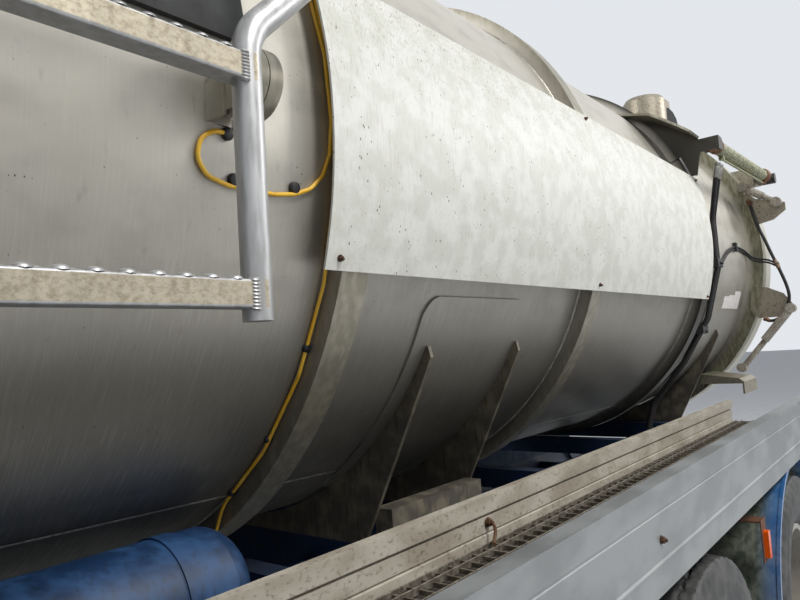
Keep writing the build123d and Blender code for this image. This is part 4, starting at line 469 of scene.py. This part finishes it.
# Side panels: aluminium sheet with a baked off-white coat, held by rusty bolts.
# Rain draws grey and brown runs down it, algae grows along its top, and tar leaves specks.
panel_coat, tree, shader = new_material("off_white_sheet_coat")
fine_runs = pattern(tree, 7.0, (1.0, 1.0, 26.0), Detail=4.0)
wide_runs = pattern(tree, 30.0, (1.0, 1.0, 16.0), Detail=6.0)
patches = pattern(tree, 300.0, Detail=5.0)
algae = pattern(tree, 16.0, (1.0, 1.0, 9.0), Detail=7.0)
shown = layer(tree, colour("#d1d0c8"), colour("#c4c3b8"), patches, 0.38, 0.62)
shown = layer(tree, shown, colour("#99978b"), fine_runs, 0.52, 0.78, 0.50)
shown = layer(tree, shown, colour("#9c967f"), wide_runs, 0.56, 0.80, 0.50)
high_up = add_node(tree, "ShaderNodeMapRange",
                   {"Value": object_axes(tree)["Z"], "From Min": 2.10, "From Max": 2.58,
                    "To Min": -0.14, "To Max": 0.03})
algae_gate = add_node(tree, "ShaderNodeMath", {0: high_up, 1: algae}, operation="ADD")
shown = layer(tree, shown, colour("#77735e"), algae_gate, 0.50, 0.72, 0.50)
speck_gate = pattern(tree, 150.0, (1.0, 1.0, 2.0), Detail=3.0)
speck = speck_mask(tree, 62.0, speck_gate, 0.42, 0.60, 0.150)
shown = layer(tree, shown, colour("#3c352a"), speck, 0.0, 1.0, 0.85)
relief = add_node(tree, "ShaderNodeBump", {"Height": patches, "Strength": 0.15, "Distance": 0.003},
                  "Normal")
set_inputs(tree, shader, {"Base Color": shown, "Roughness": 0.48, "Normal": relief})
dress(panel_coat, "side_panels")


def on_barrel(x, angle_deg, radius, side=1):
    """Point at x on a cylinder round the barrel's axis, at an angle above its side."""
    angle = np.radians(angle_deg)
    return (x, side * radius * np.cos(angle), barrel_axis_z + radius * np.sin(angle))


rusty_bolt = worn_coat("rusty_bolt_steel", "#4d3a2c", "#6c5038", "#1c1612", metallic=0.5,
                       roughness=0.6, rust=0.7, rust_mm=8.0, dust=0.0)
panel_radius = 1.0013
panel_bolts = ((0.060, -16.4), (-1.217, -16.6), (-2.572, -17.0),
               (0.055, 17.4), (-1.231, 17.6), (-2.580, 17.4))
parts = []
for side in (1, -1):
    for bolt_x, angle_deg in panel_bolts:
        seat = np.array(on_barrel(bolt_x, angle_deg, panel_radius, side))
        outward = np.array((0.0, seat[1], seat[2] - barrel_axis_z))
        parts += bolt_parts([seat], outward, 0.012)
panel_screws = joined("panel_bolts", parts, rusty_bolt)
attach(panel_screws, "chassis")

# Hose trays: folded aluminium, mill finish outside, and dirty cream inside where hoses rub.
# The floor under the grating is black with sludge.
tray_metal, tree, shader = new_material("folded_aluminium")
tray_outer_y, tray_inner_y = 1.250, 0.905
outward = add_node(tree, "ShaderNodeMath", {0: object_axes(tree)["Y"]}, operation="ABSOLUTE")
cloud = pattern(tree, 500.0, (2.0, 1.0, 1.0), Detail=5.0)
mill = pattern(tree, 4.0, (60.0, 1.0, 1.0), Detail=3.0)
grime = pattern(tree, 45.0, (1.5, 1.0, 1.0), Detail=7.0)
outer_face = layer(tree, colour("#7d7f7f"), colour("#8f9191"), cloud, 0.38, 0.62)
outer_face = layer(tree, outer_face, colour("#75787a"), grime, 0.60, 0.78, 0.5)
inner_face = layer(tree, colour("#a39a8a"), colour("#bdb6a7"), cloud, 0.38, 0.62)
inner_face = layer(tree, inner_face, colour("#6d5f4d"), grime, 0.52, 0.74, 0.75)
shown = layer(tree, inner_face, outer_face, outward, 1.05, 1.12)
depth = add_node(tree, "ShaderNodeMath", {0: grime, 1: 0.03, 2: object_axes(tree)["Z"]},
                 operation="MULTIPLY_ADD")
sludge = add_node(tree, "ShaderNodeMapRange",
                  {"Value": depth, "From Min": 1.315, "From Max": 1.285, "To Max": 0.9},
                  interpolation_type="SMOOTHSTEP")
for edge, test in ((tray_outer_y - 0.0045, "LESS_THAN"), (tray_inner_y + 0.0015, "GREATER_THAN")):
    inside = add_node(tree, "ShaderNodeMath", {0: outward, 1: edge}, operation=test)
    sludge = add_node(tree, "ShaderNodeMath", {0: sludge, 1: inside}, operation="MULTIPLY")
shown = add_node(tree, "ShaderNodeMix", {0: sludge, 6: shown, 7: colour("#1d1a17")}, 2,
                 data_type="RGBA")
shine = add_node(tree, "ShaderNodeMapRange",
                 {"Value": outward, "From Min": 1.05, "From Max": 1.12,
                  "To Min": 0.10, "To Max": 0.35})
dull = add_node(tree, "ShaderNodeMapRange",
                {"Value": cloud, "From Min": 0.35, "From Max": 0.65,
                 "To Min": 0.40, "To Max": 0.52})
relief = add_node(tree, "ShaderNodeBump", {"Height": mill, "Strength": 0.10, "Distance": 0.0004},
                  "Normal")
set_inputs(tree, shader, {"Base Color": shown, "Metallic": shine, "Roughness": dull,
                          "Normal": relief})
dress(tray_metal, "hose_trays")


# Gratings: seven long steel bars with a cross bar every 50 mm, laid over each tray's floor.
# They are galvanised, with the zinc worn to brown steel where hoses drag.
def bar_part(start, end, width, depth):
    """A straight bar with chamfered edges: an eight-sided section carried from start to end."""
    start, end = np.asarray(start, dtype=float), np.asarray(end, dtype=float)
    run = (end - start) / np.linalg.norm(end - start)
    flat = np.cross((0.0, 0.0, 1.0) if abs(run[2]) < 0.9 else (1.0, 0.0, 0.0), run)
    flat /= np.linalg.norm(flat)
    up = np.cross(run, flat)
    w, d = width / 2, depth / 2
    k = 0.3 * min(w, d)
    corners = np.array([(w, k - d), (w, d - k), (w - k, d), (k - w, d),
                        (-w, d - k), (-w, k - d), (k - w, -d), (w - k, -d)])
    section = corners[:, :1] * flat + corners[:, 1:] * up
    return np.stack([start + section, end + section]), grid_faces(2, 8, caps=True)


grating_steel = worn_coat("worn_galvanised_steel", "#6b6458", "#8b8477", "#2b221b", metallic=0.55,
                          roughness=0.5, cloud_mm=80.0, dust=0.0, rust=0.30, rust_mm=25.0)
grating_rear_x, grating_front_x, grating_top = -3.030, 1.230, 1.2913
long_bars = (0.927, 0.9580, 1.0110, 1.0640, 1.1170, 1.1700, 1.193)
long_bar_width, long_bar_depth = 0.004, 0.017
cross_bars = np.arange(grating_rear_x + 0.010, grating_front_x - 0.004, 0.0500)
cross_bar_width, cross_bar_depth = 0.005, 0.012
for side, side_name in both_sides:
    z = grating_top - long_bar_depth / 2
    parts = [bar_part((grating_rear_x, side * y, z), (grating_front_x, side * y, z),
                      long_bar_width, long_bar_depth) for y in long_bars]
    z = grating_top - 0.012
    parts += [bar_part((x, side * 0.926, z), (x, side * 1.194, z),
                       cross_bar_width, cross_bar_depth) for x in cross_bars]
    grating = joined(f"bar_grating_{side_name}", parts, grating_steel)
    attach(grating, "chassis")
    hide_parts("tray_gratings")

# Rear door fittings: cast valves bolted to the dish, locks and rams with painted barrels.
# Ram rods are ground and oiled. The rams' barrels carry green algae, and rust at both ends.
ram_paint, tree, shader = new_material("cream_ram_paint")
moss = pattern(tree, 40.0, (3.0, 1.0, 1.0), Detail=7.0)
chips = pattern(tree, 22.0, Detail=8.0)
along = object_axes(tree)["X"]
shown = layer(tree, colour("#928d73"), colour("#aba68d"), chips, 0.40, 0.62)
shown = layer(tree, shown, colour("#4f5a2b"), moss, 0.40, 0.60, 0.9)
shown = layer(tree, shown, colour("#54442f"), chips, 0.60, 0.74, 0.7)
shown = layer(tree, shown, colour("#6a3517"), along, -3.725, -3.745, 0.92)
shown = layer(tree, shown, colour("#6a3517"), along, -2.625, -2.590, 0.80)
relief = add_node(tree, "ShaderNodeBump", {"Height": chips, "Strength": 0.4, "Distance": 0.0015},
                  "Normal")
set_inputs(tree, shader, {"Base Color": shown, "Roughness": 0.6, "Normal": relief})
valve_iron = worn_coat("painted_cast_valve", "#5d6468", "#747a7c", "#2a241d", roughness=0.5,
                       rust=0.35)
lock_paint = worn_coat("grey_lock_paint", "#918e82", "#aaa698", "#4a3523", roughness=0.55,
                       rust=0.85, rust_mm=30.0)
rod_steel = worn_coat("oiled_ram_rod", "#3c3a38", "#5a5753", "#161412", metallic=0.9,
                      roughness=0.3, dust=0.0)
dress(ram_paint, "ram_barrels")
dress(rod_steel, "ram_rods")
dress(valve_iron, "door_valves")
dress(lock_paint, "door_locks")

# Ladder: welded aluminium tube and pressed square rungs with dimpled tops, dull in patches.
# The rungs' outer faces carry dried brown mud. A stiff rubber mat lies on the ladder's side.
ladder_metal, tree, shader = new_material("worn_ladder_aluminium")
rung_pitch, first_rung_z, rung_half_height = 0.296, 1.862, 0.018
facing = add_node(tree, "ShaderNodeNewGeometry", output="Normal")
facing = add_node(tree, "ShaderNodeSeparateXYZ", {0: facing}, "Y")
out_face = add_node(tree, "ShaderNodeMath", {0: facing}, operation="ABSOLUTE")
mud = pattern(tree, 26.0, (1.4, 1.0, 1.0), Detail=8.0, Roughness=0.65)
mud_fine = pattern(tree, 5.0, Detail=5.0)
dull_patch = pattern(tree, 60.0, (1.0, 1.0, 5.0), Detail=5.0)
shown = layer(tree, colour("#a3a2a0"), colour("#b4b3b2"), dull_patch, 0.36, 0.62)
muddy = layer(tree, colour("#b1a68f"), colour("#8f8168"), mud, 0.40, 0.68)
muddy = layer(tree, muddy, colour("#c9c3b4"), mud_fine, 0.50, 0.70, 0.6)
# The rungs lie one pitch apart, so their height within a pitch tells them from the stringers.
phase = add_node(tree, "ShaderNodeMath", {0: object_axes(tree)["Z"], 1: 1 / rung_pitch,
                                          2: 0.5 - first_rung_z / rung_pitch},
                 operation="MULTIPLY_ADD")
for operation in ("FRACT", "SUBTRACT", "ABSOLUTE"):
    phase = add_node(tree, "ShaderNodeMath", {0: phase, 1: 0.5}, operation=operation)
on_rung = add_node(tree, "ShaderNodeMath", {0: phase, 1: 0.0605}, operation="LESS_THAN")
out_face = add_node(tree, "ShaderNodeMath", {0: out_face, 1: on_rung}, operation="MULTIPLY")
shown = layer(tree, shown, muddy, out_face, 0.975, 0.995, 0.9)
dull = add_node(tree, "ShaderNodeMapRange",
                {"Value": dull_patch, "From Min": 0.3, "From Max": 0.7,
                 "To Min": 0.34, "To Max": 0.50})
relief = add_node(tree, "ShaderNodeBump",
                  {"Height": mud_fine, "Strength": 0.15, "Distance": 0.0008}, "Normal")
set_inputs(tree, shader, {"Base Color": shown, "Metallic": 0.78, "Roughness": dull,
                          "Normal": relief})
dress(ladder_metal, "ladder")
# From the lowest rung up: its place across the truck, and its two ends along it.
rungs = ((1.180, 0.447, 0.847), (1.180, 0.447, 0.847), (1.150, 0.260, 1.034),
         (1.0512, 0.260, 1.034), (0.8216, 0.260, 1.034))
dimple_rows = ((0.0090, 0.041), (-0.0090, 0.0585))
dimple_pitch, weld_pitch = 0.035, 0.0045
dimple = [(-0.0008, 0.0105), (0.0016, 0.0096), (0.0036, 0.0074), (0.0048, 0.0042)]
scale_bead = [(-0.0030, 0.0030), (-0.0020, 0.0066), (0.0, 0.0082), (0.0020, 0.0066),
              (0.0030, 0.0030)]
parts = []
for index, (rung_y, rear_x, front_x) in enumerate(rungs):
    rung_z = first_rung_z + index * rung_pitch
    for row_y, first in dimple_rows:
        centres = [(x, rung_y + row_y, rung_z + rung_half_height)
                   for x in np.arange(rear_x + first, front_x - 0.03, dimple_pitch)]
        parts += turned(centres, (0, 0, 1), dimple, 12)
    for joint_x in (rear_x + 0.0150, front_x - 0.0150):
        centres = [(joint_x, rung_y + 0.0140, rung_z + z)
                   for z in np.arange(-rung_half_height, 0.0185, weld_pitch)]
        parts += turned(centres, (0, 0.25, 1), scale_bead, 12)
ladder_beads = joined("ladder_rung_dimples_and_welds", parts, ladder_metal, sharp_deg=60.0)
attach(ladder_beads, "chassis")
mat_rubber = worn_coat("black_rubber_mat", "#161616", "#222120", "#0b0b0b", roughness=0.7, dust=0.1)
dress(mat_rubber, "ladder_mat")

# Cable and hoses: yellow PVC cable in black clips, and black rubber oil hoses by the rams.
# Both are tubes of the CAD. Zinc plated ferrules crimp the oil hoses' upper ends.
cable_pvc = worn_coat("yellow_pvc", "#d9a417", "#e2b43a", "#7b5c17", roughness=0.4, dust=0.15,
                      run_share=0.35)
hose_rubber = worn_coat("hose_rubber", "#0c0b0b", "#151313", "#341a14", roughness=0.6, dust=0.0)
dress(cable_pvc, "yellow_cable")
dress(hose_rubber, "hydraulic_hoses")
clip_plastic = worn_coat("black_cable_clip", "#151515", "#232323", "#0a0a0a", roughness=0.45,
                         dust=0.05)
clip = [(-0.001, 0.0115), (0.006, 0.0115), (0.009, 0.0100), (0.0105, 0.0070), (0.0105, 0.0025)]
clip_places = ((0.047, -28.25), (0.047, -42.25), (0.047, -53.25), (0.306, -5.12), (0.290, -9.66),
               (0.152, -9.23))
parts = []
for clip_x, angle_deg in clip_places:
    seat = np.array(on_barrel(clip_x, angle_deg, barrel_radius))
    parts += turned([seat], (0, seat[1], seat[2] - barrel_axis_z), clip, 16)
cable_clips = joined("cable_clips", parts, clip_plastic)
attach(cable_clips, "chassis")
ferrule = [(0.0, 0.0165), (0.010, 0.0165), (0.011, 0.0140), (0.020, 0.0140), (0.022, 0.0158),
           (0.072, 0.0158), (0.075, 0.0138)]
parts = []
for side in (1, -1):
    hose_tops = [(x, side * 1.0528, 2.6325) for x in (-2.650, -2.700)]
    parts += turned(hose_tops, (0.0, side * -0.016, -0.068), ferrule, 16)
ferrules = joined("hose_ferrules", parts, nut_steel)
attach(ferrules, "chassis")

# Door lock hoses: a stiff hose falls from the upper lock to the lower one, clear of the flange.
# Two thin branch hoses cross the last course to it, in a clip. Clamp blocks hold the oil hoses,
# and a blank label sheet lies on the barrel below.
def smooth_route(route, rounds=4):
    """Rounds a route's corners: each leg is cut at a quarter and three quarters, rounds times."""
    route = np.asarray(route, dtype=float)
    for _ in range(rounds):
        start, end = route[:-1], route[1:]
        cuts = np.stack([0.75 * start + 0.25 * end, 0.25 * start + 0.75 * end], axis=1)
        route = np.concatenate([route[:1], cuts.reshape(-1, 3), route[-1:]])
    return route


def hose_object(name, routes, radius, material):
    """One piece of like hoses: round tubes of one radius along smoothed routes, ends closed."""
    curve = bpy.data.curves.new(name, "CURVE")
    curve.dimensions = "3D"
    curve.bevel_depth = radius
    curve.bevel_resolution = 3
    curve.use_fill_caps = True
    for route in routes:
        spline = curve.splines.new("POLY")
        spline.points.add(len(route) - 1)
        spline.points.foreach_set("co", np.column_stack([route, np.ones(len(route))]).ravel())
    curve.materials.append(material)
    piece = bpy.data.objects.new(name, curve)
    bpy.context.collection.objects.link(piece)
    return piece


lock_plane_x, tee_z = -3.600, 2.165
lock_hose_radius, branch_radius, branch_gap = 0.0095, 0.0058, 0.016
lock_hose_places = ((0.994, 2.583), (1.029, 2.419), (1.063, 2.320), (1.092, 2.223), (1.126, 2.126),
                    (1.158, 2.013), (1.161, 1.940), (1.126, 1.852), (1.053, 1.816), (1.012, 1.844))
branch_steps = ((-2.905, -7.6), (-2.989, -5.5), (-3.084, -2.4), (-3.210, -0.5), (-3.339, 0.5),
                (-3.491, 0.1), (-3.575, -0.6))
branch_ends = ((0.980, 2.207), (1.023, 2.189), (1.067, 2.183), (1.112, 2.152))
rusty_fitting = worn_coat("rusty_hose_fitting", "#6b4630", "#8a7c6c", "#2b1a12", metallic=0.55,
                          roughness=0.55, rust=0.7, rust_mm=18.0, dust=0.0)
fitting = [(0.0, 0.0100), (0.002, 0.0150), (0.016, 0.0150), (0.018, 0.0115), (0.034, 0.0115),
           (0.036, 0.0095)]
block_radius, block_width, block_depth = 0.9645, 0.042, 0.046
label_steps = ((-3.13, -3.24, -21.0, -16.6), (-3.24, -3.36, -21.0, -16.0),
               (-3.36, -3.50, -21.0, -14.5))
label_lift = 0.0009 * np.array([1.0, 1.0, 0.0, 0.0])
fitting_parts, clamp_parts, label_parts = [], [], []
for side, side_name in both_sides:
    route = smooth_route([(lock_plane_x, side * y, z) for y, z in lock_hose_places])
    lock_hose = hose_object(f"lock_hose_{side_name}", [route], lock_hose_radius, hose_rubber)
    hose_length = float(np.linalg.norm(np.diff(route, axis=0), axis=1).sum())
    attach(lock_hose, "chassis")
    branches = []
    for lift in (0.0, branch_gap):
        steps = [on_barrel(x, angle_deg + np.degrees(lift), barrel_radius + 0.0062, side)
                 for x, angle_deg in branch_steps]
        steps += [(lock_plane_x, side * y, z + lift) for y, z in branch_ends]
        branches.append(smooth_route(steps))
    branch_hoses = hose_object(f"branch_hoses_{side_name}", branches, branch_radius, hose_rubber)
    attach(branch_hoses, "chassis")
    tee = int(np.argmin(np.abs(route[:, 2] - tee_z)))
    for index, onward in ((0, 2), (tee - 1, 2), (tee + 1, -2), (len(route) - 1, -2)):
        fitting_parts += turned([route[index]], route[index + onward] - route[index], fitting, 16)
    for angle_deg in (-6.5, -28.1):
        front, rear = (np.array(on_barrel(x, angle_deg, block_radius, side))
                       for x in (-2.772, -2.872))
        clamp_parts.append(bar_part(front, rear, block_width, block_depth))
        outward = np.array((0.0, front[1], front[2] - barrel_axis_z))
        bolt_seat = (front + rear) / 2 + outward / block_radius * block_width / 2
        clamp_parts += bolt_parts([bolt_seat], outward, 0.016)
    front, rear = (on_barrel(x, 0.9, 0.958, side) for x in (-3.268, -3.296))
    clamp_parts.append(bar_part(front, rear, 0.026, 0.052))
    for front_x, rear_x, low_deg, high_deg in label_steps:
        angle = np.radians(np.linspace(low_deg, high_deg, 9))[:, None]
        x = np.array([front_x, rear_x, rear_x, front_x])[::side]
        radius = barrel_radius + label_lift[::side]
        points = np.stack([x + 0 * angle, side * radius * np.cos(angle),
                           barrel_axis_z + radius * np.sin(angle)], axis=-1)
        label_parts.append((points, grid_faces(9, 4, caps=True)))
fittings = joined("lock_hose_fittings", fitting_parts, rusty_fitting)
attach(fittings, "chassis")
clamps = joined("hose_clamp_blocks", clamp_parts, clip_plastic)
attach(clamps, "chassis")
label_film = worn_coat("faded_blank_film", "#c9c3bf", "#d6d2cf", "#a99a94", roughness=0.5,
                       cloud_mm=60.0, dust=0.0)
labels = joined("blank_label_sheets", label_parts, label_film)
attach(labels, "chassis")

# Dome fin: a dark plate, 8 mm thick, stands upright at the dome's rear left.
# It is cut from sheet, and fixed along its upright edge to the dome's wall.
def plate_part(origin, right, up, outline, thickness):
    """A flat plate: a counterclockwise outline in two directions, half its thickness each way."""
    right, up = np.asarray(right, dtype=float), np.asarray(up, dtype=float)
    ahead = np.cross(right, up)
    ahead *= thickness / 2 / np.linalg.norm(ahead)
    outline = np.asarray(outline, dtype=float)
    flat = np.asarray(origin) + outline[:, :1] * right + outline[:, 1:] * up
    return np.stack([flat - ahead, flat + ahead]), grid_faces(2, len(outline), caps=True)


dome_axis = (-3.370, 0.490, 0.0)
fin_outline = [(0.128, 3.150), (0.150, 3.130), (0.212, 3.128), (0.205, 3.175), (0.186, 3.222),
                (0.160, 3.252), (0.138, 3.256), (0.128, 3.240)]
fin_plate = plate_part(dome_axis, (-0.66, 0.75, 0.0), (0.0, 0.0, 1.0), fin_outline, 0.008)
fin = joined("dome_flap", [fin_plate], clip_plastic)
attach(fin, "chassis")

# Ram ends: a ribbed gland nut closes each ram's barrel, and a collar sits by its front pin.
# They are turned steel, rusted through their paint.
ram_pin = np.array((-2.560, 1.060, 2.705))
ram_run = np.array((-3.960, 1.060, 2.760)) - ram_pin
gland = [(1.186, 0.0345), (1.190, 0.0400), (1.196, 0.0435), (1.206, 0.0435), (1.209, 0.0395),
         (1.215, 0.0395), (1.218, 0.0450), (1.236, 0.0450), (1.2395, 0.0410), (1.2395, 0.0215),
         (1.2395, 0.0205), (1.186, 0.0205)]
gland_heights, gland_radii = np.array(gland).T
gland_faces = grid_faces(len(gland), 24, close_rows=True)
collar = [(0.046, 0.0345), (0.049, 0.0385), (0.060, 0.0385), (0.063, 0.0345)]
parts = []
for side in (1, -1):
    pin = ram_pin * (1, side, 1)
    parts.append((swing(pin, ram_run, gland_heights, gland_radii, 24), gland_faces))
    parts += turned([pin], ram_run, collar, 24)
glands = joined("ram_gland_nuts", parts, rusty_fitting)
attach(glands, "ram_barrels")

# Tray fixings: one bolt through each outer wall, and a bent hook bolt in the inner wall.
# Both are plain steel gone brown, and the hook lies with its tip on the grating.
wall_bolt = (-0.748, tray_outer_y + 0.0002, 1.262)
hook_bolt = (-0.481, tray_inner_y + 0.0022, 1.332)
hook_places = ((-0.481, 0.907, 1.332), (-0.481, 0.926, 1.331), (-0.479, 0.931, 1.312),
               (-0.466, 0.934, 1.297), (-0.440, 0.946, 1.2965), (-0.425, 0.960, 1.2965))
parts = []
for side, side_name in both_sides:
    for (x, y, z), size in ((wall_bolt, 0.018), (hook_bolt, 0.020)):
        parts += bolt_parts([(x, side * y, z)], (0, side, 0), size)
    hook_route = smooth_route([(x, side * y, z) for x, y, z in hook_places], 3)
    hook = hose_object(f"tray_hook_{side_name}", [hook_route], 0.0045, rusty_bolt)
    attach(hook, "chassis")
tray_bolts = joined("tray_bolts", parts, rusty_bolt)
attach(tray_bolts, "chassis")

# Fenders, steps and guards: blue gloss fenders, green with moss inboard where rain drips on them,
# chequered steps, aluminium side guards, a blue bumper and a pump in grey paint.
fender_paint = worn_coat("blue_gloss_paint", "#2d5f93", "#3f76a8", "#2b3438", roughness=0.28,
                         dust=0.5, run_share=0.20)
bumper_paint = worn_coat("blue_bumper_paint", "#264f7e", "#325f8e", "#2b3438", roughness=0.28,
                         dust=0.5, run_share=0.25)
step_metal = worn_coat("chequered_aluminium", "#8d8e8c", "#a8a8a4", "#4d4840", metallic=0.8,
                       roughness=0.42)
guard_metal = worn_coat("guard_aluminium", "#a6a8a8", "#babbb9", "#6a665e", metallic=0.75,
                        roughness=0.42)
pump_paint = worn_coat("grey_pump_paint", "#5e6668", "#747b7b", "#221d18", roughness=0.5, rust=0.25)
tree = fender_paint.node_tree
shader = tree.nodes["Principled BSDF"]
gloss = shader.inputs["Base Color"].links[0].from_socket
outward = add_node(tree, "ShaderNodeMath", {0: object_axes(tree)["Y"]}, operation="ABSOLUTE")
moss = pattern(tree, 110.0, (1.0, 1.0, 2.0), Detail=7.0)
road_dirt = layer(tree, colour("#4f554a"), colour("#6f7468"), moss, 0.36, 0.64)
shown = layer(tree, road_dirt, gloss, outward, 1.14, 1.215)
set_inputs(tree, shader, {"Base Color": shown})
dress(bumper_paint, "front_bumper")
dress(fender_paint, "fenders")
dress(step_metal, "cab_steps")
dress(guard_metal, "side_guards")
dress(pump_paint, "vacuum_pump")

# Cab: pressed steel in blue gloss paint, with a moulded black grille and mirrors.
# The glass is toughened and laminated sheet, slightly green.
cab_paint = worn_coat("blue_cab_paint", "#28568c", "#30609a", "#2a3a4c", roughness=0.22,
                      dust=0.35, run_share=0.15)
grille_plastic = worn_coat("black_moulded_grille", "#1a1a1b", "#262627", "#0e0e0e", roughness=0.5,
                           dust=0.25)
mirror_plastic = worn_coat("black_mirror_case", "#19191a", "#232323", "#0f0f0f", roughness=0.45,
                           dust=0.1)
cabin_trim = worn_coat("grey_cabin_trim", "#4a4b4e", "#55565a", "#35353a", roughness=0.65, dust=0.0)
wheel_skin = worn_coat("black_wheel_skin", "#171718", "#212122", "#0d0d0d", roughness=0.5, dust=0.0)
dress(cab_paint, "cab_shell", "cab_door_left", "cab_door_right")
dress(grille_plastic, "grille")
dress(mirror_plastic, "mirrors")
dress(cabin_trim, "cab_interior")
dress(wheel_skin, "steering_wheel")
cab_glazing, tree, shader = new_material("tinted_safety_glass")
film = pattern(tree, 180.0, Detail=5.0)
shown = layer(tree, colour("#c9d6d3"), colour("#b9c4c0"), film, 0.4, 0.7)
dull = add_node(tree, "ShaderNodeMapRange", {"Value": film, "To Min": 0.01, "To Max": 0.06})
set_inputs(tree, shader, {"Base Color": shown, "Roughness": dull, "Transmission Weight": 1.0,
                          "IOR": 1.5})
dress(cab_glazing, "cab_glass", "door_glass_left", "door_glass_right")

# Lamps: moulded lenses, clear in front, amber at the sides and red behind.
# The side marker's bracket is a bent strip of bare steel, brown with rust.
lens, tree, shader = new_material("moulded_lamp_lens")
along = object_axes(tree)["X"]
outward = add_node(tree, "ShaderNodeMath", {0: object_axes(tree)["Y"]}, operation="ABSOLUTE")
shown = layer(tree, colour("#a3140f"), colour("#e0590d"), along, -4.20, -4.10)
shown = layer(tree, shown, colour("#d9dddf"), along, 3.9, 4.0)
rust = pattern(tree, 20.0, Detail=7.0)
bracket = layer(tree, colour("#4a2c1c"), colour("#6b4226"), rust, 0.4, 0.62)
inboard = add_node(tree, "ShaderNodeMath", {0: outward, 1: 1.2033}, operation="LESS_THAN")
middle = add_node(tree, "ShaderNodeMath", {0: along}, operation="ABSOLUTE")
middle = add_node(tree, "ShaderNodeMath", {0: middle, 1: 3.5}, operation="LESS_THAN")
is_bracket = add_node(tree, "ShaderNodeMath", {0: inboard, 1: middle}, operation="MULTIPLY")
shown = layer(tree, shown, bracket, is_bracket, 0.0, 1.0)
dull = add_node(tree, "ShaderNodeMapRange", {"Value": is_bracket, "To Min": 0.16, "To Max": 0.75})
set_inputs(tree, shader, {"Base Color": shown, "Roughness": dull})
dress(lens, "lamps")
